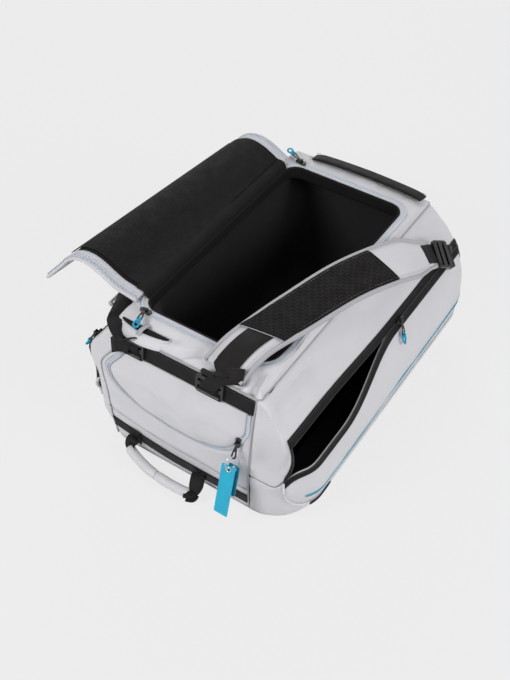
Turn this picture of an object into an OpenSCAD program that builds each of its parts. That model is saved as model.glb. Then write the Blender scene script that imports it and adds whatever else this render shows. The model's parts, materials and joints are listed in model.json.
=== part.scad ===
/* [Body] */
// Width of the bag at its widest level
body_w = 426; // [400:2:450]
// Height of the widest level above the floor
wide_z = 75; // [60:1:90]
// Width of the top deck
deck_w = 264; // [262:2:280]
// Height of the deck seam
deck_z = 268; // [260:1:275]
// Width of the base
base_w = 366; // [340:2:390]
// Reach of the near end from the origin, at its fullest level
near_l = 272; // [268:1:290]
// Reach of the far end from the origin, at its fullest level
far_l = 290; // [280:1:310]
// How far the near end leans in at the deck
near_lean = 14; // [8:1:18]
// How far the far end leans in at the deck
far_lean = 26; // [15:1:30]
// Level at which both ends are fullest
end_z = 110; // [90:1:130]
// Low corner radius of the near end
near_corner = 60; // [45:1:66]
// Low corner radius of the far end
far_corner = 45; // [35:1:55]
// Corner radius at the deck
deck_corner = 5; // [4:0.5:6]
// Half width of the end panels at the floor
end_half_low = 116; // [108:1:120]
// Half width of the end panels at the deck
end_half_high = 126; // [122:1:127]
// Thickness of the padded walls
wall = 4; // [3:0.5:5]
// Thickness of the base fabric
base_t = 5; // [4:0.5:7]
// Thickness of the stiffener inside the base
board_t = 3; // [2:0.5:4]
// Gap between panels sewn edge to edge
seam_gap = 0.4; // [0.3:0.1:0.6]
// Half distance between the walls of the two racket compartments
divider_x = 124; // [116:1:125]
// Thickness of the racket compartment walls
divider_t = 3; // [2:0.5:4]

/* [Main opening] */
// Width of the top opening
open_w = 222; // [200:2:226]
// Distance of the opening's near edge from the origin
open_near = 211; // [190:1:216]
// Distance of the opening's far edge from the origin
open_far = 208; // [190:1:216]
// Corner radius of the opening
open_r = 25; // [15:1:35]
// Rise of the rim over the deck seam
rim_rise = 16; // [12:1:22]
// Width of the flat ledge that carries the zip
ledge_w = 14; // [12:1:15]
// Depth of the black facing inside the rim
facing_h = 22; // [12:1:26]
// Width of one zip tape
tape_w = 12; // [9:0.5:13]
// Thickness of a zip tape with its teeth
tape_t = 1.6; // [1:0.1:2]

/* [Lid flap] */
// Angle that the open flap turns through to close
flap_close = 171; // [160:1:176]
// Fold between the two parts of the open flap
flap_fold = 58; // [40:1:70]
// Distance from hinge to fold along the near edge
fold_near = 131; // [110:1:145]
// Distance from hinge to fold along the far edge
fold_far = 90; // [75:1:120]
// Thickness of the padded flap
flap_t = 5; // [4:0.5:6]
// How far the flap laps over the ledge
flap_lap = 6; // [3:0.5:8]
// Corner radius of the flap
flap_r = 30; // [20:1:40]
// Width of the light border round the lining
flap_border = 20; // [17:1:26]
// Thickness of the lining
lining_t = 1.4; // [1:0.1:2]
// Height of the hinge line above the rim
hinge_lift = 7; // [6.5:0.5:9]

/* [Racket compartments] */
// Height of the racket zips along the sides
zip_z = 196; // [185:1:205]
// Height of the lower corner seams
corner_seam_z = 100; // [90:1:110]
// Lowest level of the front panels
front_low_z = 57; // [48:1:70]
// Drop of the lower lip of the unzipped mouth
mouth_drop = 42; // [20:1:50]
// Rise of the upper lip of the unzipped mouth
mouth_lift = 6; // [2:1:10]
// Crown of the front panels
front_crown = 6; // [2:0.5:9]

/* [Shoe pocket] */
// Half width of the shoe door
door_half = 110; // [96:1:111]
// Top edge of the shoe door
door_top = 234; // [225:1:236]
// Lowest point of the shoe door
door_low = 122; // [114:1:130]
// Height of the door's curved bottom
door_curve = 80; // [60:1:100]
// Depth of the shoe pocket behind the near end
shoe_depth = 66; // [50:1:80]

/* [Webbing and handles] */
// Width of the strap webbing
web_w = 38; // [30:1:40]
// Thickness of the webbing
web_t = 2; // [1.5:0.1:2.5]
// Height of the black band across the near end
band_h = 30; // [24:1:31]
// Top of the low band that carries the haul handle
low_band_z = 44; // [40:1:60]
// Height of the low band
low_band_h = 24; // [18:1:30]
// Distance of the haul handle's middle from the middle of the bag
haul_x = -38; // [-40:1:0]
// Distance between the haul handle's two ends
haul_span = 152; // [120:1:154]
// Reach of the haul handle
haul_reach = 34; // [30:1:40]
// Diameter of the haul grip
grip_d = 18; // [14:0.5:20]
// Where the far handle starts, across the bag
far_handle_x0 = -88; // [-100:1:-60]
// Where the far handle ends, across the bag
far_handle_x1 = 124; // [80:1:124]
// Width of the far handle
far_handle_w = 24; // [18:1:26]
// How far the far handle's middle line lies in from the deck's far edge
far_handle_in = 15; // [14:1:18]
// Rise of the far handle over the deck
far_handle_rise = 3; // [2:1:10]
// Width of the shoulder straps
pad_w = 78; // [66:1:80]
// Thickness of the shoulder straps
pad_t = 10; // [8:0.5:11]

/* [Hardware] */
// Length of a zip slider
slider_l = 17; // [14:0.5:18]
// Width of a zip slider
slider_w = 10; // [8:0.5:11]
// Length of a zip puller
pull_l = 26; // [20:1:28]
// Width of a zip puller
pull_w = 9; // [8:0.5:10]
// Outer diameter of the split ring
ring_d = 24; // [20:0.5:26]
// Thickness of the split ring's wire
ring_wire = 1.6; // [1.2:0.1:2]
// Width of the large tag
tag_w = 24; // [20:1:28]
// Length of the large tag
tag_l = 96; // [80:1:104]
// Running clearance between moving pieces
clearance = 0.4; // [0.3:0.05:0.5]

/* [Hidden] */

$fn = 32;

// Exponent of the side's curve between its widest level and the deck
side_power = 2.5;
// Sample counts along the skin
corner_n = 10;
side_n = 12;
skin_rows = 5;

rim_z = deck_z + rim_rise;
hinge_x = -(open_w / 2 + flap_lap);
hinge_z = rim_z + hinge_lift;
flap_y0 = -(open_near + flap_lap / 2);
flap_y1 = open_far + flap_lap / 2;
flap_x1 = open_w / 2 + flap_lap;
fold_a = [hinge_x + fold_near, flap_y0];
fold_b = [hinge_x + fold_far, flap_y1];
fold_turn = atan2(fold_a.x - fold_b.x, fold_b.y - fold_a.y);
// Room on each side of the fold so that the padded edges don't meet
fold_room = flap_t / 2 * tan(flap_fold / 2) + clearance;

function mix(a, b, t) = a + (b - a) * t;
function ease(t) = let (u = min(1, max(0, t))) u * u * (3 - 2 * u);
function unit(v) = v / norm(v);

// Outer skin: half width, end positions and corner radii at each level
function side_w(z) = z > wide_z
    ? mix(body_w, deck_w, pow((z - wide_z) / (deck_z - wide_z), side_power)) / 2
    : mix(body_w, base_w, pow((wide_z - z) / wide_z, side_power)) / 2;
function end_in(z) = pow((z - end_z) / (deck_z - end_z), 2);
function near_y(z) = near_lean * end_in(z) - near_l;
function far_y(z) = far_l - far_lean * end_in(z);
function corner_r(low, z) = mix(low, deck_corner, ease((z - end_z) / (deck_z - end_z - 28)));
function end_half(z) = mix(end_half_low, end_half_high, z / deck_z);

// Point on the right half of the skin, set in by d: s runs 0 to 5 from the near panel round to the far one
function skin(z, s, d = 0) =
    let (w = side_w(z) - d, yn = near_y(z) + d, yf = far_y(z) - d)
    let (rn = corner_r(near_corner, z) - d, rf = corner_r(far_corner, z) - d)
    s < 1 ? [mix(end_half(z), w - rn, s), yn, z]
    : s < 2 ? [w - rn + rn * sin(90 * (s - 1)), yn + rn - rn * cos(90 * (s - 1)), z]
    : s < 3 ? [w, mix(yn + rn, yf - rf, s - 2), z]
    : s < 4 ? [w - rf + rf * cos(90 * (s - 3)), yf - rf + rf * sin(90 * (s - 3)), z]
    : [mix(w - rf, end_half(z), s - 4), yf, z];
function stations() = [
    0, 0.5,
    for (i = [0 : corner_n - 1]) 1 + i / corner_n,
    for (i = [0 : side_n - 1]) 2 + i / side_n,
    for (i = [0 : corner_n - 1]) 3 + i / corner_n,
    4, 4.5, 5
];
front_s0 = 1.3;
front_s1 = 3.7;
front_stations = [for (s = stations()) if (s > front_s0 - 0.01 && s < front_s1 + 0.01) s];

// Seam between gusset and front panel, which carries the racket zip
function zip_line(s) = let (t = s < 2.5 ? (s - 1.1) / 0.65 : (3.9 - s) / 0.65)
    mix(corner_seam_z, zip_z, ease(t));
// How far the unzipped right mouth gapes, from 0 to 1
mouth_end_s = 2.56;
function mouth(s) = ease((s - front_s0) / 0.45) * (1 - ease((s - 2.15) / (mouth_end_s - 2.15)));
function gusset_low(s, open) = zip_line(s) + open * mouth_lift * mouth(s) + seam_gap;
function front_top(s, open) = zip_line(s) - open * mouth_drop * mouth(s) - seam_gap;
function front_low(s) = let (t = min(1, s < 2.5 ? (s - front_s0) / 0.45 : (front_s1 - s) / 0.45))
    front_low_z + 36 * (1 - sqrt(1 - pow(1 - t, 2)));
function front_out(s, v, open) = front_crown * sin(180 * v) + open * 6 * mouth(s) * v * v;
function skirt_top(s) = (s > front_s0 - 0.01 && s < front_s1 + 0.01 ? front_low(s) : zip_line(s)) - seam_gap;

// Closed solid between an outer and an inner grid of points
module shell(outer, inner, closed = false) {
    rows = len(outer);
    cols = len(outer[0]);
    size = rows * cols;
    spans = closed ? cols : cols - 1;
    function id(g, r, c) = g * size + r * cols + c % cols;
    skin_faces = [for (r = [0 : rows - 2], c = [0 : spans - 1]) each [
        [id(0, r, c), id(0, r + 1, c), id(0, r + 1, c + 1)],
        [id(0, r, c), id(0, r + 1, c + 1), id(0, r, c + 1)],
        [id(1, r, c), id(1, r + 1, c + 1), id(1, r + 1, c)],
        [id(1, r, c), id(1, r, c + 1), id(1, r + 1, c + 1)]
    ]];
    low_faces = [for (c = [0 : spans - 1]) each [
        [id(0, 0, c), id(0, 0, c + 1), id(1, 0, c + 1)],
        [id(0, 0, c), id(1, 0, c + 1), id(1, 0, c)],
        [id(0, rows - 1, c), id(1, rows - 1, c + 1), id(0, rows - 1, c + 1)],
        [id(0, rows - 1, c), id(1, rows - 1, c), id(1, rows - 1, c + 1)]
    ]];
    end_faces = closed ? [] : [for (r = [0 : rows - 2]) each [
        [id(0, r, 0), id(1, r + 1, 0), id(0, r + 1, 0)],
        [id(0, r, 0), id(1, r, 0), id(1, r + 1, 0)],
        [id(0, r, cols - 1), id(0, r + 1, cols - 1), id(1, r + 1, cols - 1)],
        [id(0, r, cols - 1), id(1, r + 1, cols - 1), id(1, r, cols - 1)]
    ]];
    polyhedron([for (g = [outer, inner], row = g) each row], concat(skin_faces, low_faces, end_faces));
}

// Smooth curve through hand-set points
function spline_pt(p, i, t) =
    let (a = p[max(0, i - 1)], b = p[i], c = p[i + 1], d = p[min(len(p) - 1, i + 2)])
    0.5 * (2 * b + (c - a) * t + (2 * a - 5 * b + 4 * c - d) * t * t + (3 * b - a - 3 * c + d) * t * t * t);
function spline(p, n) = [for (i = [0 : len(p) - 2], k = [0 : n - 1]) spline_pt(p, i, k / n), p[len(p) - 1]];
function tangent(p, i) = unit(p[min(len(p) - 1, i + 1)] - p[max(0, i - 1)]);

// Flat strip swept along a curve, with its faces turned by the normals
module strip(path, normals, w, t, lift = 0) {
    across = [for (i = [0 : len(path) - 1]) unit(cross(tangent(path, i), normals[i])) * w / 2];
    up = [for (i = [0 : len(path) - 1]) unit(cross(across[i], tangent(path, i)))];
    function edge(i, h) = [path[i] + up[i] * h - across[i], path[i] + up[i] * h + across[i]];
    shell([for (i = [0 : len(path) - 1]) edge(i, lift + t)], [for (i = [0 : len(path) - 1]) edge(i, lift)]);
}

function arc(cx, cy, r, a0, a1, n = 6) = [for (i = [0 : n]) let (a = mix(a0, a1, i / n))
    [cx + r * cos(a), cy + r * sin(a)]];
function round_rect(x0, x1, y0, y1, r) = concat(
    arc(x1 - r, y0 + r, r, -90, 0), arc(x1 - r, y1 - r, r, 0, 90),
    arc(x0 + r, y1 - r, r, 90, 180), arc(x0 + r, y0 + r, r, 180, 270));
function opening(grow) = round_rect(-open_w / 2 - grow, open_w / 2 + grow,
    -open_near - grow, open_far + grow, open_r + grow);
function at_z(points, z) = [for (p = points) [p.x, p.y, z]];

// Plan of the skin at one level
function plan(z, d = 0) = let (right = [for (s = stations()) let (p = skin(z, s, d)) [p.x, p.y]])
    concat(right, [for (i = [len(right) - 1 : -1 : 0]) [-right[i].x, right[i].y]]);

module base_panel() {
    color("#242122") linear_extrude(base_t) polygon(plan(0));
}

module base_board() {
    color("#2a2728") translate([0, 0, base_t]) linear_extrude(board_t) polygon(plan(0, 3 * wall));
}

// Curved slice of an end wall: straight across, bowed in height
end_rows = 14;
module end_slice(near, d0, d1, half, z0, z1) {
    levels = [for (i = [0 : end_rows]) mix(z0, z1, i / end_rows)];
    back = [for (i = [end_rows : -1 : 0]) levels[i]];
    function y(z, d) = near ? near_y(z) + d : far_y(z) - d;
    translate([-half, 0, 0]) rotate([90, 0, 90]) linear_extrude(2 * half)
        polygon(concat([for (z = levels) [y(z, d0), z]], [for (z = back) [y(z, d1), z]]));
}
module facing_end(points, near = true) {
    translate([0, near ? 0 : 2 * far_l, 0]) rotate([90, 0, 0]) linear_extrude(2 * far_l) polygon(points);
}
end_low = base_t + seam_gap;
end_high = deck_z - seam_gap;
function end_outline(cut) = [
    [-end_half(end_low) + cut, end_low], [end_half(end_low) - cut, end_low],
    [end_half(end_high) - cut, end_high], [-end_half(end_high) + cut, end_high]
];
// Shoe door outline, grown by a margin: straight sides and a curved bottom
door_power = 2.3;
function door_edge(grow, n = 24) = concat(
    [[-door_half - grow, door_top + min(grow, 0)]],
    [for (i = [0 : n]) let (a = mix(-90, 90, i / n), u = abs(sin(a)))
        [sign(a) * u * (door_half + grow),
         door_low - grow + (door_curve + grow) * (1 - pow(1 - pow(u, door_power), 1 / door_power))]],
    [[door_half + grow, door_top + min(grow, 0)]]);

module near_end_panel() {
    color("#d2d2d7") difference() {
        intersection() {
            end_slice(true, 0, wall, end_half_high, end_low, end_high);
            facing_end(end_outline(seam_gap / 2));
        }
        facing_end(door_edge(clearance));
    }
}
module far_end_panel() {
    color("#d2d2d7") intersection() {
        end_slice(false, 0, wall, end_half_high, end_low, end_high);
        facing_end(end_outline(seam_gap / 2), false);
    }
}
module shoe_door() {
    color("#d6d6db") intersection() {
        end_slice(true, 0, wall, end_half_high, end_low, end_high);
        facing_end(door_edge(-clearance));
    }
}
module shoe_zip_band(g0, g1) {
    intersection() {
        end_slice(true, -clearance - tape_t, -clearance, end_half_high, end_low, end_high);
        difference() {
            facing_end(door_edge(g1));
            facing_end(door_edge(g0));
        }
    }
}
module shoe_zip_tape() {
    color("#b9c3d2") intersection() {
        shoe_zip_band(clearance, tape_w / 2);
        facing_end(end_outline(seam_gap / 2));
    }
}
module shoe_door_zip_tape() {
    color("#b9c3d2") shoe_zip_band(-tape_w / 2, -clearance);
}
shoe_half = door_half + 4;
shoe_low = door_low - 60;
shoe_high = deck_z - 22;
shoe_front = near_y(shoe_high) + wall + seam_gap;
module shoe_pocket_liner() {
    thick = 2;
    color("#242122") difference() {
        translate([-shoe_half, shoe_front, shoe_low])
            cube([2 * shoe_half, shoe_depth, shoe_high - shoe_low]);
        translate([-shoe_half + thick, shoe_front - thick, shoe_low + thick])
            cube([2 * (shoe_half - thick), shoe_depth, shoe_high - shoe_low - 2 * thick]);
    }
}

// Side panels of the right half: the left ones are their mirror images with the mouth zipped shut
function gusset_grid(d, open) = [for (r = [0 : skin_rows - 1]) [for (s = stations())
    skin(mix(gusset_low(s, open), deck_z - seam_gap, r / (skin_rows - 1)), s, d)]];
function skirt_grid(d) = [for (r = [0 : skin_rows - 1]) [for (s = stations())
    skin(mix(base_t + seam_gap, skirt_top(s), r / (skin_rows - 1)), s, d)]];
function front_grid(d, open) = [for (r = [0 : skin_rows]) let (v = r / skin_rows) [for (s = front_stations)
    skin(mix(front_low(s), front_top(s, open), v), s, d - front_out(s, v, open))]];
module gusset(open) {
    shell(gusset_grid(0, open), gusset_grid(wall, open));
}
module skirt() {
    shell(skirt_grid(0), skirt_grid(wall));
}
module front_panel(open) {
    shell(front_grid(0, open), front_grid(wall, open));
}
module right_gusset() {
    color("#d4d4d9") gusset(1);
}
module left_gusset() {
    color("#d4d4d9") mirror([1, 0, 0]) gusset(0);
}
module right_skirt() {
    color("#c6c6cc") skirt();
}
module left_skirt() {
    color("#c6c6cc") mirror([1, 0, 0]) skirt();
}
module right_front_panel() {
    color("#d8d8dd") front_panel(1);
}
module left_front_panel() {
    color("#d8d8dd") mirror([1, 0, 0]) front_panel(0);
}
// Racket zip tapes: one strip along each lip, laid on the outside of the panels
module lip_tapes(open) {
    lay = seam_gap;
    upper = [for (k = [0, 1]) [for (s = front_stations) let (z = gusset_low(s, open) + k * tape_w) [z, s]]];
    lower = [for (k = [-1, 0]) [for (s = front_stations) let (z = front_top(s, open) + k * tape_w)
        [z, s, front_out(s, (z - front_low(s)) / (front_top(s, open) - front_low(s)), open)]]];
    function upper_grid(d) = [for (row = upper) [for (q = row) skin(q[0], q[1], d)]];
    function lower_grid(d) = [for (row = lower) [for (q = row) skin(q[0], q[1], d - q[2])]];
    shell(upper_grid(-lay - tape_t), upper_grid(-lay));
    shell(lower_grid(-lay - tape_t), lower_grid(-lay));
}
module right_zip_tape() {
    color("#232021") lip_tapes(1);
}
module left_zip_tape() {
    color("#232021") mirror([1, 0, 0]) lip_tapes(0);
}
divider_y0 = near_y(deck_z) + 2 * wall;
divider_y1 = far_y(deck_z) - 2 * wall;
module right_divider() {
    color("#2a2728") translate([divider_x - divider_t / 2, divider_y0, base_t + board_t])
        cube([divider_t, divider_y1 - divider_y0, deck_z - 4 * wall - base_t - board_t]);
}
module left_divider() {
    mirror([1, 0, 0]) right_divider();
}

// Top deck: rises from the seam to a flat ledge round the opening
deck_rows = 4;
function deck_loop(z, d) = let (r = deck_corner) round_rect(-side_w(z) + d, side_w(z) - d,
    near_y(z) + d, far_y(z) - d, r);
function deck_grid(d) = concat(
    [for (i = [0 : deck_rows]) let (t = i / deck_rows, a = deck_loop(deck_z, d), b = opening(ledge_w))
        [for (k = [0 : len(a) - 1]) let (p = mix(a[k], b[k], 1 - cos(90 * t)))
            [p.x, p.y, mix(deck_z, rim_z - d, sin(90 * t))]]],
    [at_z(opening(0), rim_z - d)]);
module top_deck() {
    color("#d2d2d7") shell(deck_grid(0), deck_grid(wall - 1), true);
}
module rim_facing() {
    facing_t = 2;
    color("#242122") translate([0, 0, rim_z - facing_h]) difference() {
        linear_extrude(facing_h) polygon(opening(-seam_gap));
        translate([0, 0, -1]) linear_extrude(facing_h + 2) polygon(opening(-seam_gap - facing_t));
    }
}
module main_zip_tape() {
    color("#b9c3d2") translate([0, 0, rim_z]) linear_extrude(tape_t) difference() {
        polygon(opening(tape_w));
        polygon(opening(0));
        translate([hinge_x - 2 * ledge_w, -open_near + open_r])
            square([3 * ledge_w, open_near + open_far - 2 * open_r]);
    }
}

// Lid flap: drawn shut, folded along a slanting line, then laid open
module laid_open() {
    translate([hinge_x, 0, hinge_z]) rotate([0, -flap_close, 0]) children();
}
module folded_down() {
    a = [fold_a.x - hinge_x, fold_a.y, 0];
    laid_open() translate(a) rotate([0, 0, fold_turn]) rotate([0, -flap_fold, 0])
        rotate([0, 0, -fold_turn]) translate(-a) children();
}
hinge_room = 2;
function fold_x(y) = mix(fold_a.x, fold_b.x, (y - fold_a.y) / (fold_b.y - fold_a.y)) - hinge_x;
function inner_outline(inset, room = 0) = let (y0 = flap_y0 + inset, y1 = flap_y1 - inset) [
    [hinge_room + room, y0], [fold_x(y0) - fold_room - room, y0],
    [fold_x(y1) - fold_room - room, y1], [hinge_room + room, y1]];
function outer_outline(inset, room = 0) =
    let (y0 = flap_y0 + inset, y1 = flap_y1 - inset, x1 = flap_x1 - hinge_x - inset, r = flap_r - inset)
    concat([[fold_x(y0) + fold_room + room, y0]], arc(x1 - r, y0 + r, r, -90, 0),
        arc(x1 - r, y1 - r, r, 0, 90), [[fold_x(y1) + fold_room + room, y1]]);
module flap_layer(top, t) {
    translate([0, 0, top - t]) linear_extrude(t) children();
}
module flap_inner_shell() {
    color("#cfcfd5") laid_open() flap_layer(flap_t / 2, flap_t) polygon(inner_outline(0));
}
module flap_outer_shell() {
    color("#cfcfd5") folded_down() flap_layer(flap_t / 2, flap_t) polygon(outer_outline(0));
}
module flap_inner_lining() {
    color("#242122") laid_open() flap_layer(-flap_t / 2, lining_t)
        polygon(inner_outline(flap_border, clearance));
}
module flap_outer_lining() {
    color("#242122") folded_down() flap_layer(-flap_t / 2, lining_t)
        polygon(outer_outline(flap_border, clearance));
}
module flap_inner_zip_tape() {
    color("#b9c3d2") laid_open() flap_layer(-flap_t / 2, tape_t) difference() {
        polygon(inner_outline(2, clearance));
        polygon(inner_outline(2 + tape_w, -fold_near));
    }
}
module flap_outer_zip_tape() {
    color("#b9c3d2") folded_down() flap_layer(-flap_t / 2, tape_t) difference() {
        polygon(outer_outline(2, clearance));
        polygon(outer_outline(2 + tape_w, -fold_near));
    }
}
// Binding that stands on the ledge under the flap's sewn edge
binding_w = 4.6;
binding_top = hinge_z + hinge_room * sin(flap_close) + flap_t / 2 * cos(flap_close) - clearance;
module flap_hinge_binding() {
    color("#242122") translate([hinge_x - clearance - binding_w, -open_near + open_r, rim_z])
        cube([binding_w, open_near + open_far - 2 * open_r, binding_top - rim_z]);
}
mesh_t = 0.8;
module flap_mesh_pocket() {
    color("#3a3738") laid_open() flap_layer(-flap_t / 2 - lining_t, mesh_t)
        polygon(inner_outline(flap_border + 6, 8));
}

// Webbing bands on the ends
module end_band(half, z0, z1) {
    intersection() {
        end_slice(true, -clearance - web_t, -clearance, half, z0, z1);
        facing_end(end_outline(0));
    }
}
band_z1 = deck_z - 2;
module near_band() {
    color("#242122") end_band(end_half_high, band_z1 - band_h, band_z1);
}
module low_band() {
    color("#242122") end_band(end_half_high, low_band_z - low_band_h, low_band_z);
}
module far_handle() {
    y = far_y(deck_z) - far_handle_in;
    z = deck_z + 0.75 * (rim_z - deck_z) + 1;
    rise = far_handle_rise;
    path = spline([[far_handle_x0, y, z], [far_handle_x0 + 26, y + 2, z + rise],
        [mix(far_handle_x0, far_handle_x1, 0.5), y + 3, z + rise + 2],
        [far_handle_x1 - 26, y + 2, z + rise], [far_handle_x1, y, z]], 4);
    color("#242122") strip(path, [for (p = path) [0, 0.25, 1]], far_handle_w, 2 * web_t);
}

// Haul handle: a grip on two webbing arms with rolled ends that turn on the low band
haul_arm_t = 4;
haul_arm_w = 24;
haul_z = low_band_z - low_band_h / 2;
haul_y = near_y(haul_z) - 2.4 * clearance - web_t - haul_arm_t / 2;
haul_drop = 12;
haul_out = -near_l - haul_reach;
haul_taper = 4;
module haul_webbing() {
    reach = haul_out + (grip_d + haul_arm_t) / 2 + clearance;
    color("#242122") for (side = [-1, 1]) {
        x = haul_x + side * (haul_span - haul_arm_w) / 2;
        path = spline([[x, haul_y, haul_z], [x, mix(haul_y, reach, 0.4), haul_z - 1],
            [x - side * haul_taper, reach, haul_z - haul_drop + 3]], 4);
        strip(path, [for (p = path) [0, 0.1, 1]], haul_arm_w, haul_arm_t, -haul_arm_t / 2);
        translate([x, haul_y, haul_z]) rotate([0, 90, 0])
            cylinder(d = haul_arm_t, h = haul_arm_w, center = true);
    }
}
grip_round = 4;
grip_l = haul_span - 10;
module haul_grip() {
    color("#cdcdd3") translate([haul_x - grip_l / 2, haul_out, haul_z - haul_drop]) rotate([0, 90, 0])
        rotate_extrude() polygon(concat([[0, 0]],
            arc(grip_d / 2 - grip_round, grip_round, grip_round, -90, 0),
            arc(grip_d / 2 - grip_round, grip_l - grip_round, grip_round, 0, 90), [[0, grip_l]]));
}

// Moulded ladder lock: a frame with three bars and a lifting lip; the webbing runs along Y
lock_w = web_w + 10;
lock_l = 32;
lock_t = 4;
lock_slot = 5;
lock_bar = (lock_l - 2 * lock_slot) / 3;
lock_lip = lock_bar * 0.8;
module ladder_lock() {
    difference() {
        linear_extrude(lock_t) polygon(round_rect(-lock_w / 2, lock_w / 2, -lock_l / 2, lock_l / 2, 5));
        for (side = [-1, 1])
            translate([-web_w / 2 - 1, side * (lock_bar + lock_slot) / 2 - lock_slot / 2, -1])
            cube([web_w + 2, lock_slot, lock_t + 2]);
    }
    translate([-web_w / 2, -lock_l / 2 + lock_bar / 2, lock_t]) rotate([0, 90, 0])
        cylinder(d = lock_lip, h = web_w);
}

// Near locks lie on the near band and follow the lean of the end wall
lock_z = band_z1 - band_h + lock_l / 2 + 1;
lock_lean = atan(2 * near_lean * (lock_z - end_z) / pow(deck_z - end_z, 2));
lock_up = [0, sin(lock_lean), cos(lock_lean)];
lock_out = [0, -cos(lock_lean), sin(lock_lean)];
lock_y = near_y(lock_z) - (2 * clearance + web_t) / cos(lock_lean);
right_lock_x = 50;
left_lock_x = -92;
module near_lock(x) {
    translate([x, lock_y, lock_z]) rotate([90 - lock_lean, 0, 0]) ladder_lock();
}

// Shoulder straps: centre lines of the pads and the way their faces look, both drawn on the right side
function beside(z, out) = side_w(z) + out;
right_points = [
    [70, near_y(deck_z) + 7, rim_z + 4], [80, -200, rim_z + 16], [101, -106, rim_z + 19],
    [125, -22, rim_z + 19], [148, 40, rim_z + 14], [168, 94, rim_z + 2],
    [beside(deck_z - 20, 37), 158, rim_z - 26]];
right_looks = [[0, -0.3, 1], [0, -0.05, 1], [0.05, 0, 1], [0.15, 0, 1], [0.25, 0.05, 1],
    [0.4, 0.15, 1], [0.75, 0.2, 0.9]];
left_level = deck_z - 18;
left_points = [
    [beside(left_level, 9), -190, left_level + 12], [beside(left_level, 21), -150, left_level - 1],
    [beside(left_level, 22), -60, left_level - 3], [beside(left_level, 22), 60, left_level - 3],
    [beside(left_level, 22), 140, left_level - 4], [beside(deck_z - 45, 14), 196, rim_z - 52]];
left_looks = [[0.62, 0, 0.78], [0.68, 0, 0.73], [0.7, 0, 0.72], [0.7, 0, 0.72], [0.72, 0, 0.7],
    [0.9, 0.2, 0.75]];
strap_n = 4;
function strap_path(points) = spline(points, strap_n);
function strap_looks(looks) = [for (v = spline(looks, strap_n)) unit(v)];
function part_of(list, a, b) = [for (i = [a : b]) list[i]];
// Samples on a pad's outer face
web_lift = pad_t / 2 + clearance;
function on_pad(points, looks, a, b) = [for (i = [a : b])
    strap_path(points)[i] + strap_looks(looks)[i] * web_lift];

module strap_pad(points, looks) {
    strip(strap_path(points), strap_looks(looks), pad_w, pad_t, -pad_t / 2);
}
// Webbing from a near lock over the edge of the deck and on along the pad
module strap_lead(lock_x, bend, pad_part, pad_faces) {
    start = [lock_x, lock_y, lock_z] + lock_out * (lock_t + 1.5 * clearance);
    lead = spline(concat([start, start + lock_up * lock_l / 2], bend, [pad_part[0]]), strap_n);
    bent = len(lead) - 1 - strap_n;
    turns = [for (i = [0 : len(lead) - 1]) unit(mix(lock_out, pad_faces[0], ease((i - strap_n) / bent)))];
    rest = len(pad_part) > 1 ? part_of(pad_part, 1, len(pad_part) - 1) : [];
    rest_faces = len(pad_part) > 1 ? part_of(pad_faces, 1, len(pad_part) - 1) : [];
    strip(concat(lead, rest), concat(turns, rest_faces), web_w, web_t);
}
// Far ends of the straps: webbing that lies on the side, over the racket zip
hold_z = deck_z - 78;
hold_slope = atan2(side_w(hold_z - 4) - side_w(hold_z + 4), 8);
hold_look = [cos(hold_slope), 0, sin(hold_slope)];
hold_off = seam_gap + tape_t + web_t / 2 + 2 * clearance;
hold = [side_w(hold_z), far_y(deck_z) - 24, hold_z] + hold_look * hold_off;
far_reach = 40;
module strap_hold(from, look, run) {
    face = unit(look - run * (look * run));
    over = from + run * (far_reach + 6);
    path = [from + run * 4, from + run * far_reach / 2, from + run * far_reach, over, mix(over, hold, 0.5), hold];
    strip(path, [face, face, face, unit(mix(face, hold_look, 0.3)), unit(mix(face, hold_look, 0.8)), hold_look],
        web_w, web_t, -web_t / 2);
}
module far_lock(from, look, run) {
    across = unit(cross(run, look));
    up = cross(across, run);
    middle = from + run * (lock_l / 2 + 5) + up * (web_t / 2 + clearance);
    multmatrix([[across.x, run.x, up.x, middle.x], [across.y, run.y, up.y, middle.y],
        [across.z, run.z, up.z, middle.z]]) ladder_lock();
}
function last(list) = list[len(list) - 1];
right_end = last(right_points);
right_run = unit([0.45, 0.8, -0.4]);
left_end = last(left_points);
left_run = unit(left_end - left_points[len(left_points) - 2]);

module right_strap_pad() {
    color("#cfcfd5") strap_pad(right_points, right_looks);
}
mesh_first = 5;
mesh_last = 17;
mesh_pad_t = 1.6;
module right_strap_mesh() {
    color("#232021") strip(part_of(strap_path(right_points), mesh_first, mesh_last),
        part_of(strap_looks(right_looks), mesh_first, mesh_last), pad_w - 10, mesh_pad_t, web_lift);
}
module right_strap_webbing() {
    color("#232021") strap_lead(right_lock_x,
        [[right_lock_x + 4, near_y(deck_z) - 11, rim_z - 4], [right_lock_x + 11, near_y(deck_z) - 5, rim_z + 5]],
        on_pad(right_points, right_looks, 0, mesh_first - 1),
        part_of(strap_looks(right_looks), 0, mesh_first - 1));
}
module right_strap_anchor() {
    color("#232021") strap_hold(right_end, last(right_looks), right_run);
}
module right_near_ladder_lock() {
    color("#1d1b1c") near_lock(right_lock_x);
}
module right_far_ladder_lock() {
    color("#1d1b1c") far_lock(right_end, last(right_looks), right_run);
}
module left_strap_pad() {
    color("#cfcfd5") mirror([1, 0, 0]) strap_pad(left_points, left_looks);
}
module left_strap_webbing() {
    color("#232021") mirror([1, 0, 0]) strap_lead(-left_lock_x,
        [[mix(-left_lock_x, deck_w / 2, 0.25), near_y(deck_z) - 13, rim_z - 13],
         [deck_w / 2 - 6, near_y(deck_z) + 8, rim_z - 6]],
        on_pad(left_points, left_looks, 0, 2), part_of(strap_looks(left_looks), 0, 2));
}
module left_strap_anchor() {
    color("#232021") mirror([1, 0, 0]) strap_hold(left_end, last(left_looks), left_run);
}
module left_near_ladder_lock() {
    color("#1d1b1c") near_lock(left_lock_x);
}
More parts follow.
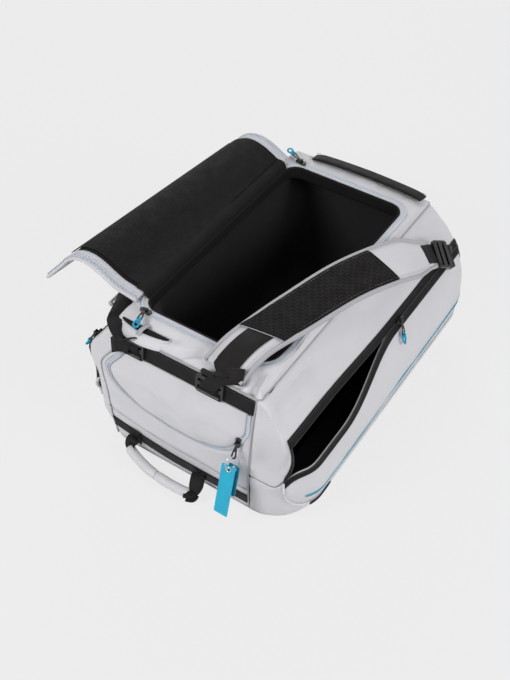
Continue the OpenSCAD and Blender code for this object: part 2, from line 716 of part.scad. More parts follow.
module left_far_ladder_lock() {
    color("#1d1b1c") mirror([1, 0, 0]) far_lock(left_end, last(left_looks), left_run);
}

// Zip slider: a wedge body with two lugs and a pin; the zip runs along X and +Z looks outward
slider_h = 3.4;
pin_d = 2;
eye_d = 4.4;
eye_w = 4;
lug_t = 1.2;
pin_z = slider_h + eye_d / 2 + clearance;
module zip_slider(spin) {
    half = eye_w / 2 + clearance;
    linear_extrude(slider_h) polygon(concat(
        arc(slider_l / 2 - 3, 0, slider_w / 2, -60, 60), arc(-slider_l / 2 + 2, 0, slider_w / 3, 120, 240)));
    rotate([0, 0, spin]) {
        for (side = [-1, 1]) translate([0, side * (half + lug_t / 2), slider_h]) rotate([90, 0, 0])
            linear_extrude(lug_t, center = true) {
                translate([-eye_d / 2, -0.5]) square([eye_d, pin_z - slider_h + 0.5]);
                translate([0, pin_z - slider_h]) circle(d = eye_d);
            }
        translate([0, 0, pin_z]) rotate([90, 0, 0]) cylinder(d = pin_d, h = 2 * half + lug_t, center = true);
    }
}
// Puller: an eye on the slider's pin, a tapered tab with a slot, and a pull loop through the slot
pull_t = 1.6;
slot_w = pull_w * 0.6;
module zip_puller(loop = true) {
    end = pull_l - pull_w / 2;
    difference() {
        union() {
            rotate([90, 0, 0]) cylinder(d = eye_d, h = eye_w, center = true);
            translate([0, 0, -pull_t / 2]) linear_extrude(pull_t) polygon(concat([[0, -eye_w / 2]],
                arc(end, 0, pull_w / 2, -90, 90), [[0, eye_w / 2]]));
        }
        rotate([90, 0, 0]) cylinder(d = pin_d + 0.3, h = 2 * eye_w, center = true);
        translate([0, 0, -pull_t]) linear_extrude(2 * pull_t) polygon(concat(
            arc(end, 0, slot_w / 2, -90, 90), arc(end - pull_l / 3, 0, slot_w / 2, 90, 270)));
    }
    if (loop) translate([pull_l + pull_w * 0.5, 0, 0]) rotate_extrude()
        translate([pull_w * 0.8, 0]) circle(d = 1.8);
}
module set_slider(place, turn) {
    translate(place) rotate(turn) children();
}
module set_puller(place, turn, spin) {
    translate(place) rotate(turn) translate([0, 0, pin_z]) rotate([0, 0, spin]) children();
}
slider_off = tape_t + clearance;
main_near_place = [-open_w / 2 + 14, -open_near - tape_w / 2 - 3, rim_z + slider_off];
main_far_place = [-open_w / 2 + 14, open_far + tape_w / 2 + 3, rim_z + slider_off];
side_slope = atan2(side_w(zip_z - 4) - side_w(zip_z + 4), 8);
function side_place(s) = skin(zip_z, s, -slider_off - seam_gap);
right_slide_s = mouth_end_s + 0.03;
left_slide_s = 2.03;
side_turn = [90 - side_slope, 0, 90];
near_spin = 284;
far_spin = 155;
right_spin = 250;
left_spin = 262;
flat_turn = [0, 0, 0];
module main_near_slider() {
    color("#1d1b1c") set_slider(main_near_place, flat_turn) zip_slider(near_spin);
}
module main_near_puller() {
    color("#1d1b1c") set_puller(main_near_place, flat_turn, near_spin) zip_puller();
}
module main_far_slider() {
    color("#1d1b1c") set_slider(main_far_place, flat_turn) zip_slider(far_spin);
}
module main_far_puller() {
    color("#1d1b1c") set_puller(main_far_place, flat_turn, far_spin) zip_puller();
}
module right_racket_slider() {
    color("#1d1b1c") set_slider(side_place(right_slide_s), side_turn) zip_slider(right_spin);
}
module right_racket_puller() {
    color("#1d1b1c") set_puller(side_place(right_slide_s), side_turn, right_spin) zip_puller();
}
module left_racket_slider() {
    color("#1d1b1c") mirror([1, 0, 0]) set_slider(side_place(left_slide_s), side_turn) zip_slider(left_spin);
}
module left_racket_puller() {
    color("#1d1b1c") mirror([1, 0, 0])
        set_puller(side_place(left_slide_s), side_turn, left_spin) zip_puller();
}
// Shoe zip slider: it follows the lean of the wall, and the ring holds its puller off the wall
shoe_run = 30;
// Bow of the wall along the run, added to the slider's running gap
shoe_bow = 0.2;
shoe_slide_z = door_low + door_curve - 30;
shoe_mid_z = shoe_slide_z + shoe_run / 2;
shoe_lean = atan((near_y(shoe_mid_z + 4) - near_y(shoe_mid_z - 4)) / 8);
shoe_out = [0, -cos(shoe_lean), sin(shoe_lean)];
shoe_x = door_half - slider_w / 2 - 1;
shoe_place = [shoe_x, near_y(shoe_slide_z), shoe_slide_z] + shoe_out * (clearance + slider_off + shoe_bow);
shoe_pin = shoe_place + shoe_out * pin_z;
shoe_hang = 24;
shoe_down = [0, -sin(shoe_hang), -cos(shoe_hang)];
module shoe_slider() {
    color("#1d1b1c") translate(shoe_place) rotate([90 - shoe_lean, 0, 0]) rotate([0, 0, 90]) zip_slider(180);
}
module shoe_puller() {
    color("#1d1b1c") translate(shoe_pin) rotate([-shoe_hang, 0, 0]) rotate([0, 90, 0]) rotate([90, 0, 0])
        zip_puller(false);
}
// Split ring and two blank tags that hang from the slot of the shoe puller
ring_turn = 38;
ring_r = (ring_d - ring_wire) / 2;
ring_gap = 1.2;
ring_top = shoe_pin + shoe_down * (pull_l - pull_w / 2 + slot_w / 2 - ring_wire / 2 - ring_gap);
tag_t = 1.2;
tag_hole = 7;
tag_spread = 24;
// The ring and tags hang swung out by the bulge of the pocket behind them
tag_lean = 16;
module swung() {
    translate(ring_top) rotate([-tag_lean, 0, 0]) translate(-ring_top) children();
}
module split_ring() {
    color("#b8b8bc") swung() translate(ring_top - [0, 0, ring_r]) rotate([0, 0, -ring_turn]) rotate([0, 90, 0])
        rotate_extrude() translate([ring_r, 0]) circle(d = ring_wire);
}
// Tag hung by its hole on the ring, to one side of the ring's lowest point
module hung_tag(w, l, side) {
    along = side * ring_r * sin(tag_spread);
    hook = ring_top - [0, 0, ring_r * (1 + cos(tag_spread))]
        + along * [sin(ring_turn), cos(ring_turn), 0] - [0, 0, tag_hole / 2 - ring_wire / 2 - 2 * clearance];
    translate(hook) rotate([90, 0, 0]) linear_extrude(tag_t, center = true) difference() {
        polygon(round_rect(-w / 2, w / 2, tag_hole - l, tag_hole, 2));
        circle(d = tag_hole);
    }
}
module large_tag() {
    color("#0a9dbd") swung() hung_tag(tag_w, tag_l, -1);
}
module small_tag() {
    color("#0a86a3") swung() hung_tag(tag_w - 5, tag_l * 0.6, 1);
}

base_panel();
base_board();
near_end_panel();
far_end_panel();
right_gusset();
left_gusset();
right_skirt();
left_skirt();
right_front_panel();
left_front_panel();
right_divider();
left_divider();
top_deck();
rim_facing();
flap_hinge_binding();
main_zip_tape();
right_zip_tape();
left_zip_tape();
shoe_pocket_liner();
shoe_zip_tape();
near_band();
low_band();
far_handle();
right_strap_pad();
right_strap_mesh();
right_strap_webbing();
right_strap_anchor();
right_near_ladder_lock();
right_far_ladder_lock();
left_strap_pad();
left_strap_webbing();
left_strap_anchor();
left_near_ladder_lock();
left_far_ladder_lock();
flap_inner_shell();
flap_inner_lining();
flap_inner_zip_tape();
flap_mesh_pocket();
flap_outer_shell();
flap_outer_lining();
flap_outer_zip_tape();
shoe_door();
shoe_door_zip_tape();
haul_webbing();
haul_grip();
main_near_slider();
main_near_puller();
main_far_slider();
main_far_puller();
right_racket_slider();
right_racket_puller();
left_racket_slider();
left_racket_puller();
shoe_slider();
shoe_puller();
split_ring();
large_tag();
small_tag();
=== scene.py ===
"""Paddle case: cloth, webbing, zips, finishes, light and camera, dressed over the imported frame."""
import json
import math
import bmesh
import bpy
from mathutils import Euler, Matrix, Vector, noise
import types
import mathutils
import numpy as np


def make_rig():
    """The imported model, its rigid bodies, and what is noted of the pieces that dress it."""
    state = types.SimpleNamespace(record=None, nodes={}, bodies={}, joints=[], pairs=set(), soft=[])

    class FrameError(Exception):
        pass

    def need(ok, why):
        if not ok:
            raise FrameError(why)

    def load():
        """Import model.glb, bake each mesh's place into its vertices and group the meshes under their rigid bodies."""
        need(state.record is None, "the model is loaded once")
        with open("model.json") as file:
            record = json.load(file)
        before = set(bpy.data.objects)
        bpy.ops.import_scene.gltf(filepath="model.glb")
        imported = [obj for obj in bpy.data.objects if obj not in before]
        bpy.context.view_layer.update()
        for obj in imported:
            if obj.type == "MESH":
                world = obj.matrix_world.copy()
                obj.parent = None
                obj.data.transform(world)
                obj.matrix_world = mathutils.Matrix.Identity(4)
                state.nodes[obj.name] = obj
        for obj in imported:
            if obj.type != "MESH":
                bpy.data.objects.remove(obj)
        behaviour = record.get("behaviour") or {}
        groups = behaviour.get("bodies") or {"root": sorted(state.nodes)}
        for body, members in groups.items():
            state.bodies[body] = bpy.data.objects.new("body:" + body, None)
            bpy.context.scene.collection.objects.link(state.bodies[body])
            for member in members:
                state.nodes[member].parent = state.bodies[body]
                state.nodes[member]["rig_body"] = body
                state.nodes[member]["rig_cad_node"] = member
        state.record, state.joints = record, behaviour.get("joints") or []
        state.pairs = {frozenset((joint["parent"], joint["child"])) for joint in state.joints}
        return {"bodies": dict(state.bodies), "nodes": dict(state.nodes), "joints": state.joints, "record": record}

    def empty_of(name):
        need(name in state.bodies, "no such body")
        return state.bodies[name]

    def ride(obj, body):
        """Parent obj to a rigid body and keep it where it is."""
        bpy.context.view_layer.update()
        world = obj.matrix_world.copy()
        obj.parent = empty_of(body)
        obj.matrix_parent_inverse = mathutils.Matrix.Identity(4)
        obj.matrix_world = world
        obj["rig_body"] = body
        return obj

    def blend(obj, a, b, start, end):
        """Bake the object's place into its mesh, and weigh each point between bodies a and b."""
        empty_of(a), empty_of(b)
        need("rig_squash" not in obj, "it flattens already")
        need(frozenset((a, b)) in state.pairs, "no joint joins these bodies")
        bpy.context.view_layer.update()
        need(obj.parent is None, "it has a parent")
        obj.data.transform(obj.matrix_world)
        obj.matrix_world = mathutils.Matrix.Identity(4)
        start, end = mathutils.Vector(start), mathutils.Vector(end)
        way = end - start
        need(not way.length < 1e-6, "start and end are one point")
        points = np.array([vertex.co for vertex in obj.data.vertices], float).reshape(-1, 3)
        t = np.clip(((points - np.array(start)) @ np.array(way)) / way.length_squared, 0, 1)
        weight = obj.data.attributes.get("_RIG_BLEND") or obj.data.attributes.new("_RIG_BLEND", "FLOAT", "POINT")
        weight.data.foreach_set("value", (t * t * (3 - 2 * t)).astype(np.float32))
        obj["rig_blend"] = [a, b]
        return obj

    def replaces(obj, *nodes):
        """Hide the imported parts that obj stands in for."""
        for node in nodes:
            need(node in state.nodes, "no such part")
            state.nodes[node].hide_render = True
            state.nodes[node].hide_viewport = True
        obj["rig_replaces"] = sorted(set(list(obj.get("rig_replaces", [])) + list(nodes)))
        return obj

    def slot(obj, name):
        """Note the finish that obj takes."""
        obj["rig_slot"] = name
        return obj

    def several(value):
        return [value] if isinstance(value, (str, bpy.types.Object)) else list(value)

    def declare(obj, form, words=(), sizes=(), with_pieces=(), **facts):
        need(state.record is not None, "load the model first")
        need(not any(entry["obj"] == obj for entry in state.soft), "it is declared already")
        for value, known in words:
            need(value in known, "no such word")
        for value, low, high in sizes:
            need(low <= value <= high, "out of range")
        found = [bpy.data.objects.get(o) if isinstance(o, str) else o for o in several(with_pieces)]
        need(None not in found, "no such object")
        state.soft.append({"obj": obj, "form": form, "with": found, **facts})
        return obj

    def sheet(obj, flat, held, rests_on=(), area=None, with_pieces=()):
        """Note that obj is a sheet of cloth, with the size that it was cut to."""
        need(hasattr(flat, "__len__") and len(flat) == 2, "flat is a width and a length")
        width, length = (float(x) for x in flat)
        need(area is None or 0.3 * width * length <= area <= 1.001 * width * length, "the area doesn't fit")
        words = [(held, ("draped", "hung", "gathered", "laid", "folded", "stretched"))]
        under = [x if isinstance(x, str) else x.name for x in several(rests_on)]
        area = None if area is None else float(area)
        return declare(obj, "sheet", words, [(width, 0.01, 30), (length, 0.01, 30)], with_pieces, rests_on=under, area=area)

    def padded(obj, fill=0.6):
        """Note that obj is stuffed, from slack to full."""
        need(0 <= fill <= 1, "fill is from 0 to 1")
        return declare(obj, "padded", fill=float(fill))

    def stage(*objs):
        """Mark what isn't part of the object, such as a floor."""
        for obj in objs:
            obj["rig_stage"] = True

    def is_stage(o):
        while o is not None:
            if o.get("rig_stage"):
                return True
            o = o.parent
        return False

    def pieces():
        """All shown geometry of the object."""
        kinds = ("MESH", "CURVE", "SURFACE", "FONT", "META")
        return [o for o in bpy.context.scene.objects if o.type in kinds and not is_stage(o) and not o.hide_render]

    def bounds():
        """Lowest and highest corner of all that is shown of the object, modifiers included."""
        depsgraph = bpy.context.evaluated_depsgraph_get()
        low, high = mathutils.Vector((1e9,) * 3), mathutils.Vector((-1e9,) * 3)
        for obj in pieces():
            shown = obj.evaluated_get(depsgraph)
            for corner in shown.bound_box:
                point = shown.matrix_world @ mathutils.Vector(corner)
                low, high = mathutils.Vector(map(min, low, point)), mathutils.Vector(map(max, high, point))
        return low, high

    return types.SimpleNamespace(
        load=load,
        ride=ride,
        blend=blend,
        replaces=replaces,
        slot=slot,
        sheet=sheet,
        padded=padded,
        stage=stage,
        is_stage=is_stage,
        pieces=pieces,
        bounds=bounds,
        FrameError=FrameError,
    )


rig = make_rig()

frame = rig.load()
cad_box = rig.bounds()

# Shapes are worked out in millimetres and built in metres
MM = 0.001
UP, NEARWARD = Vector((0, 0, 1)), Vector((0, -1, 0))
QUARTER = math.pi / 2
RIGHT, LEFT = 1, -1
LABEL = {RIGHT: "right", LEFT: "left"}

# Sizes of the solids
BODY_W, WIDE_Z, DECK_W, DECK_Z, BASE_W = 426, 75, 264, 268, 366
NEAR_L, FAR_L, NEAR_LEAN, FAR_LEAN, END_Z = 272, 290, 14, 26, 110
NEAR_CORNER, FAR_CORNER, DECK_CORNER = 60, 45, 5
END_HALF_LOW, END_HALF_HIGH = 116, 126
SIDE_POWER = 2.5
WALL, BASE_T, SEAM = 4, 5, 0.4
OPEN_W, OPEN_NEAR, OPEN_FAR, OPEN_R = 222, 211, 208, 25
RIM_Z, LEDGE_W, FACING_H, TAPE_W = 284, 14, 22, 12
HINGE_X, HINGE_Z = -117, 291
FLAP_CLOSE, FLAP_FOLD = math.radians(171), math.radians(58)
FLAP_X0, FLAP_X1, FLAP_Y0, FLAP_Y1, FLAP_R = 2, 234, -214, 211, 30
FOLD_NEAR, FOLD_FAR = 131, 90
ZIP_Z, CORNER_SEAM_Z, FRONT_LOW_Z = 196, 100, 57
MOUTH_DROP, MOUTH_LIFT, MOUTH_END, FRONT_CROWN = 42, 6, 2.56, 6
FRONT_S0, FRONT_S1 = 1.3, 3.7
DOOR_HALF, DOOR_TOP, DOOR_LOW, DOOR_CURVE, DOOR_POWER = 110, 234, 122, 80, 2.3
WEB_W, PAD_W, PAD_T = 38, 78, 10
BAND_LOW, BAND_HIGH = 236, 266
LOW_BAND_LOW, LOW_BAND_HIGH = 20, 44
PIN_Z, PULL_L, PULL_W = 6.0, 26, 9

# How far the soft bag has settled out of that shape
NEAR_SAG, NEAR_RISE, LEFT_TUCK, RIM_BULGE = 34, 24, 14, 7

# Folds of each cloth, as waves of a height, a size and a seed; a height below 0 is a crease
GUSSET_LONG, GUSSET_SHORT = ((2.8, 40, 3), (-3.4, 56, 7)), ((1.8, 24, 5), (-1.6, 34, 9))
SKIRT_FOLDS = ((2.4, 52, 11), (1.4, 24, 12), (-2.4, 60, 13))
FRONT_LONG, FRONT_SHORT = ((1.3, 60, 17),), ((0.7, 30, 19),)
NEAR_FOLDS = ((2.2, 46, 23), (1.2, 22, 25))
FAR_FOLDS = ((2.4, 70, 29), (1.2, 28, 31), (-2.4, 70, 33))
DOOR_FOLDS = ((2.4, 50, 37), (1.3, 24, 39), (-2.4, 62, 40))
DECK_FOLDS = ((2.8, 44, 47), (1.5, 20, 49), (-3.0, 52, 51))
SACK_FOLDS = ((4.0, 60, 53), (-3.0, 70, 57))
FLAP_FOLDS = ((0.9, 80, 67), (0.5, 30, 69))

# Single furrows, each a depth, a start, an end and a width; a depth below 0 is a ridge
GUSSET_FURROWS = (
    (10, (150, -262, 150), (150, -262, 150), 52), (5, (128, -252, 232), (128, -252, 232), 26),
    (-4, (172, -228, 190), (172, -228, 190), 45), (4, (150, -140, 246), (150, -140, 246), 40),
    (15, (146, -226, 253), (148, -150, 252), 22))
DECK_FURROWS = (
    (9, (92, -256, 273), (106, -222, 281), 10), (24, (115, -252, 273), (110, -218, 283), 11),
    (-7, (123, -250, 272), (120, -226, 280), 8), (22, (130, -244, 272), (124, -208, 279), 9),
    (9, (-66, -250, 277), (-28, -236, 282), 10), (-4, (-50, -256, 273), (-14, -246, 279), 8),
    (8, (-12, -257, 272), (20, -238, 281), 10), (-3, (4, -256, 273), (34, -244, 279), 8),
    (3.5, (112, 236, 276), (112, 236, 276), 26), (8, (-78, -246, 276), (-78, -246, 276), 26))

# Thickness of the cloth, radius of a seam, and sizes of stitches and zip teeth along, across and up
SHELL_T, TAPE_T, SEAM_R = 3, 1.2, 1.2
STITCH, BOLD_STITCH = (3.0, 0.8, 0.5), (3.0, 0.8, 0.6)
FINE_STITCH, ZIP_STITCH = (2.6, 0.8, 0.5), (2.8, 0.7, 0.5)
RACKET_TOOTH, SHOE_TOOTH = (1.1, 3.2, 1.3), (1.2, 3.2, 1.5)
MAIN_TOOTH, FLAP_TOOTH = (1.1, 3.4, 1.3), (1.1, 3.4, 1.2)
STITCH_PITCH, ZIP_STITCH_PITCH, TEETH_PITCH = 4.6, 4.4, 2.1


# Small maths

def mix(a, b, t):
    return a + (b - a) * t


def ease(t):
    t = min(1.0, max(0.0, t))
    return t * t * (3 - 2 * t)


def steps(a, b, n):
    return [mix(a, b, i / n) for i in range(n + 1)]


def circle(n):
    """Cosine and sine at n even steps round a circle."""
    return [(math.cos(a), math.sin(a)) for a in steps(0, 2 * math.pi, n)[:-1]]


def grid(vs, us, point):
    """Rows of points, one row for each v."""
    return [[point(u, v) for u in us] for v in vs]


def ripple(p, size, seed):
    """Smooth noise from -1 to 1 over lengths of about size."""
    return noise.noise(Vector((p[0], p[1], p[2])) / size + Vector((seed * 17.3, seed * 5.1, seed * 9.7)))


def along(p, stretch):
    """A point squeezed along each axis, so that noise read there is drawn out into folds."""
    return (p[0] / stretch[0], p[1] / stretch[1], p[2] / stretch[2])


def crease(p, size, seed):
    """Narrow ridges, from 0 to 1."""
    return (1 - abs(ripple(p, size, seed))) ** 6


def rumple(p, waves, seed=0):
    """Height of folds at a point."""
    return sum(high * (ripple if high > 0 else crease)(p, size, own + seed) for high, size, own in waves)


def furrows(p, marks):
    """Depth of single furrows at a point."""
    total = 0.0
    for depth, start, end, width in marks:
        from_start, run = Vector(p) - Vector(start), Vector(end) - Vector(start)
        t = min(1, max(0, from_start.dot(run) / max(1e-9, run.length_squared)))
        total += depth * ease(1 - (from_start - run * t).length / width)
    return total


def spline(points, n):
    """Smooth curve through points, n samples to a stretch."""
    p = [Vector(q) for q in points]
    out = []
    for i in range(len(p) - 1):
        a, b, c, d = p[max(0, i - 1)], p[i], p[i + 1], p[min(len(p) - 1, i + 2)]
        for k in range(n):
            t = k / n
            out.append(0.5 * (2 * b + (c - a) * t + (2 * a - 5 * b + 4 * c - d) * t * t
                              + (3 * b - a - 3 * c + d) * t ** 3))
    return out + [p[-1]]


def lengths_of(points):
    out = [0.0]
    for a, b in zip(points, points[1:]):
        out.append(out[-1] + (b - a).length)
    return out


def locate(lengths, want, k=0):
    """Stretch in which a length along a path falls, searched from stretch k, and the share of it passed."""
    while k < len(lengths) - 2 and lengths[k + 1] < want:
        k += 1
    return k, (want - lengths[k]) / max(1e-9, lengths[k + 1] - lengths[k])


def spread(ups, path):
    """An up vector for each point of a path, where ups may be one for all."""
    return [ups] * len(path) if isinstance(ups, Vector) else list(ups)


def even(path, step, ups=UP, closed=False):
    """The path and its up vectors again at even steps."""
    pts, ups = list(path), spread(ups, path)
    if closed:
        pts, ups = pts + pts[:1], ups + ups[:1]
    lengths = lengths_of(pts)
    count = max(2, round(lengths[-1] / step))
    out, out_up, k = [], [], 0
    for i in range(count if closed else count + 1):
        k, t = locate(lengths, lengths[-1] * i / count, k)
        out.append(pts[k].lerp(pts[k + 1], t))
        out_up.append(ups[k].lerp(ups[k + 1], t).normalized())
    return out, out_up


def heading(path, i, closed=False):
    """Way a path runs at its point i."""
    before = path[i - 1] if closed else path[max(0, i - 1)]
    after = path[(i + 1) % len(path)] if closed else path[min(len(path) - 1, i + 1)]
    return (after - before).normalized()


def frames(path, ups, closed=False):
    """(point, along, across, up) at each sample of a path."""
    out = []
    for i, (p, up) in enumerate(zip(path, spread(ups, path))):
        t = heading(path, i, closed)
        a = t.cross(up).normalized()
        out.append((p, t, a, a.cross(t)))
    return out


def carried(path, first, closed=False):
    """Up vectors carried along a path from a first one without twisting."""
    up, out = Vector(first), []
    for i in range(len(path)):
        t = heading(path, i, closed)
        up = up - t * up.dot(t)
        up = (up if up.length > 0.2 else t.orthogonal()).normalized()
        out.append(up)
    return out


def sided(p, side):
    """A point or direction of the right side, carried over to one side."""
    return Vector((p[0] * side, p[1], p[2]))


# The bag's skin, as in the solids but for what has settled

def side_w(z):
    if z > WIDE_Z:
        return mix(BODY_W, DECK_W, min(1, (z - WIDE_Z) / (DECK_Z - WIDE_Z)) ** SIDE_POWER) / 2
    return mix(BODY_W, BASE_W, ((WIDE_Z - z) / WIDE_Z) ** SIDE_POWER) / 2


def side_slope(z):
    """Angle by which a side leans in at a level."""
    return math.atan2(side_w(z - 4) - side_w(z + 4), 8)


def end_in(z):
    return ((z - END_Z) / (DECK_Z - END_Z)) ** 2


def near_y(z):
    return NEAR_LEAN * end_in(z) - NEAR_L


def far_y(z):
    return FAR_L - FAR_LEAN * end_in(z)


def corner_r(low, z):
    return mix(low, DECK_CORNER, ease((z - END_Z) / (DECK_Z - END_Z - 28)))


def end_half(z):
    return mix(END_HALF_LOW, END_HALF_HIGH, z / DECK_Z)


def near_x(x, z):
    """Run along the near end of a point drawn on it at x: low down, the end is pulled round to the left."""
    run = x - NEAR_SAG * ease((-20 - x) / 100) * ease((240 - z) / 60)
    to_seam = ease((x - 70) / 35) * ease((end_half(z) - x) / 16)
    return run + 8 * to_seam * ease((z - 172) / 28) * ease((252 - z) / 16)


def tuck(z, s):
    """How far the near left corner is drawn in."""
    return LEFT_TUCK * ease((s - 0.6) / 1.0) * ease((2.45 - s) / 0.45) * ease(z / 45) * ease((185 - z) / 50)


def left_s(z, s):
    """Place on the left half of the skin, which starts where the near end panel stops."""
    r = corner_r(NEAR_CORNER, z)
    flat, curve = side_w(z) - r - end_half(z), r * QUARTER
    gone = -near_x(-end_half(z), z) - end_half(z)
    run = min(s, 1) * flat + max(0, s - 1) * curve
    run = gone + run * (1 - gone / (flat + curve))
    return run / flat if run < flat else 1 + (run - flat) / curve


def skin(z, s, lift=0.0, side=RIGHT):
    """Point on one half of the skin, proud of it by lift; s runs 0 to 5 from near panel to far panel."""
    if side == LEFT and s < 2:
        s = left_s(z, s)
    w = side_w(z) + lift - (tuck(z, s) if side == LEFT else 0)
    yn, yf = near_y(z) - lift, far_y(z) + lift
    rn, rf = corner_r(NEAR_CORNER, z) + lift, corner_r(FAR_CORNER, z) + lift
    a = QUARTER * (s % 1)
    if s < 1:
        x, y = mix(end_half(z), w - rn, s), yn
    elif s < 2:
        x, y = w - rn + rn * math.sin(a), yn + rn - rn * math.cos(a)
    elif s < 3:
        x, y = w, mix(yn + rn, yf - rf, s - 2)
    elif s < 4:
        x, y = w - rf + rf * math.cos(a), yf - rf + rf * math.sin(a)
    else:
        x, y = mix(w - rf, end_half(z), s - 4), yf
    return Vector((side * x, y, z))


def stations(s0=0.0, s1=5.0):
    whole = [s for k, n in enumerate((4, 12, 46, 12, 4)) for s in steps(k, k + 1, n)[:-1]]
    return [s0] + [s for s in whole if s0 + 0.01 < s < s1 - 0.01] + [s1]


def zip_line(s):
    return mix(CORNER_SEAM_Z, ZIP_Z, ease((s - 1.1 if s < 2.5 else 3.9 - s) / 0.65))


def mouth(s, side):
    """How far the racket compartment gapes, from 0 to 1: the left one is shut."""
    if side == LEFT:
        return 0
    return ease((s - FRONT_S0) / 0.45) * (1 - ease((s - 2.15) / (MOUTH_END - 2.15)))


def gusset_low(s, side):
    return zip_line(s) + MOUTH_LIFT * mouth(s, side) + SEAM


def front_top(s, side):
    return zip_line(s) - MOUTH_DROP * mouth(s, side) - SEAM


def front_low(s):
    t = max(0, min(1, (s - FRONT_S0 if s < 2.5 else FRONT_S1 - s) / 0.45))
    return FRONT_LOW_Z + 36 * (1 - math.sqrt(1 - (1 - t) ** 2))


def front_out(s, v, side):
    return FRONT_CROWN * math.sin(math.pi * v) + 6 * mouth(s, side) * v * v


def front_point(s, v, side, lift=0.0):
    z = mix(front_low(s), front_top(s, side), v)
    return skin(z, s, front_out(s, v, side) + lift, side)


def skirt_top(s):
    inside = FRONT_S0 - 0.01 < s < FRONT_S1 + 0.01
    return (front_low(s) if inside else zip_line(s)) - SEAM


def round_rect(x0, x1, y0, y1, r, arc_n=8, side_n=14):
    """Loop of a rounded rectangle, with the same samples at any size."""
    corners = [(x1 - r, y0 + r, -1), (x1 - r, y1 - r, 0), (x0 + r, y1 - r, 1), (x0 + r, y0 + r, 2)]
    arcs = [[Vector((cx + r * math.cos(a), cy + r * math.sin(a), 0))
             for a in steps(k * QUARTER, (k + 1) * QUARTER, arc_n)] for cx, cy, k in corners]
    loop = []
    for arc, following in zip(arcs, arcs[1:] + arcs[:1]):
        loop += arc + [arc[-1].lerp(following[0], i / side_n) for i in range(1, side_n)]
    return loop


def opening(grow, z, side_n=14):
    """Loop round the main opening, whose right rim bulges."""
    half = OPEN_W / 2 + grow
    loop = round_rect(-half, half, -OPEN_NEAR - grow, OPEN_FAR + grow, OPEN_R + grow, side_n=side_n)
    return [Vector((p.x + RIM_BULGE * ease((p.x - 40) / 60) * math.exp(-((p.y + 160) / 38) ** 2), p.y, z))
            for p in loop]


def door_edge(grow, n=48):
    """Shoe door outline from its top left round the bottom to its top right, as x and z."""
    pts = []
    for a in steps(-QUARTER, QUARTER, n):
        u = abs(math.sin(a))
        rise = 1 - (1 - u ** DOOR_POWER) ** (1 / DOOR_POWER) if u < 1 else 1
        pts.append((math.copysign(u * (DOOR_HALF + grow), a), DOOR_LOW - grow + (DOOR_CURVE + grow) * rise))
    left = [(-DOOR_HALF - grow, z) for z in steps(DOOR_TOP, pts[0][1], 6)[:-1]]
    right = [(DOOR_HALF + grow, z) for z in steps(pts[-1][1], DOOR_TOP, 6)[1:]]
    return left + pts + right


# Lid flap: drawn flat, bent along its fold, then laid open

FOLD_TURN = math.atan2(FOLD_NEAR - FOLD_FAR, FLAP_Y1 - FLAP_Y0)
ACROSS_FOLD = Vector((math.cos(FOLD_TURN), math.sin(FOLD_TURN), 0))
BEND_FROM, BEND_TO = -95, 35


def fold_x(y):
    return mix(FOLD_NEAR, FOLD_FAR, (y - FLAP_Y0) / (FLAP_Y1 - FLAP_Y0))


def flap_point(x, y, h):
    """Where a point of the flat flap lies at rest; h grows toward its outside."""
    u = (x - fold_x(y)) * ACROSS_FOLD.x
    turn = FLAP_FOLD * ease((u - BEND_FROM) / (BEND_TO - BEND_FROM))
    p = Vector((x, y, 0)) + ACROSS_FOLD * (u * math.cos(turn) - h * math.sin(turn) - u)
    up = u * math.sin(turn) + h * math.cos(turn)
    c, s = math.cos(-FLAP_CLOSE), math.sin(-FLAP_CLOSE)
    return Vector((HINGE_X + p.x * c + up * s, p.y, HINGE_Z - p.x * s + up * c))


def flap_corners(inset):
    """Near and far limits of the flap in y, and the radius of its outer corners."""
    return FLAP_Y0 + inset, FLAP_Y1 - inset, FLAP_R - inset


def flap_reach(y, inset):
    """How far the flap runs from its hinge at y, with rounded outer corners."""
    y0, y1, r = flap_corners(inset)
    off = max(0, y0 + r - y, y - (y1 - r))
    return FLAP_X1 - inset - r + math.sqrt(max(0, r * r - off * off))


def flap_outline(inset):
    """Free edge of the flap as x and y, from the near hinge corner round to the far one."""
    y0, y1, r = flap_corners(inset)
    x1 = FLAP_X1 - inset - r
    turns = steps(0, QUARTER, 8)
    near = [(x, y0) for x in steps(FLAP_X0, x1, 30)]
    near += [(x1 + r * math.sin(a), y0 + r - r * math.cos(a)) for a in turns[1:]]
    outer = [(x1 + r, y) for y in steps(y0 + r, y1 - r, 40)[1:-1]]
    far = [(x1 + r * math.cos(a), y1 - r + r * math.sin(a)) for a in turns]
    return near + outer + far + [(x, y1) for x in steps(x1, FLAP_X0, 30)[1:]]


def flap_grid(inset, x0, h, cols, lift, end=None):
    """Grid over the flap, set in from its free edge, at a height on it."""
    y0, y1, r = flap_corners(inset)
    turns = steps(0, QUARTER, 8)
    ys = [y0 + r - r * math.cos(a) for a in turns] + steps(y0 + r, y1 - r, 34)[1:-1]
    ys += [y1 - r + r * math.sin(a) for a in turns]

    def at(u, y):
        reach = end(y) if end else flap_reach(y, inset)
        x = mix(x0, reach, u)
        return flap_point(x, y, h + lift(x, y, min(y - y0, y1 - y, reach - x)))
    return grid(ys, steps(0, 1, cols), at)


FLAP_START, FLAP_END = [flap_point(fold_x(0) + u * ACROSS_FOLD.x, u * ACROSS_FOLD.y, 0)
                        for u in (BEND_FROM, BEND_TO)]
FLAP = ("flap_inner", "flap_outer", FLAP_START, FLAP_END)


# Materials

def srgb(r, g, b):
    def part(c):
        c /= 255
        return c / 12.92 if c <= 0.04045 else ((c + 0.055) / 1.055) ** 2.4
    return (part(r), part(g), part(b), 1)


def shade(colour, k):
    return tuple(min(1, c * k) for c in colour[:3]) + (1,)


def grey(k):
    return (k, k, k, 1)


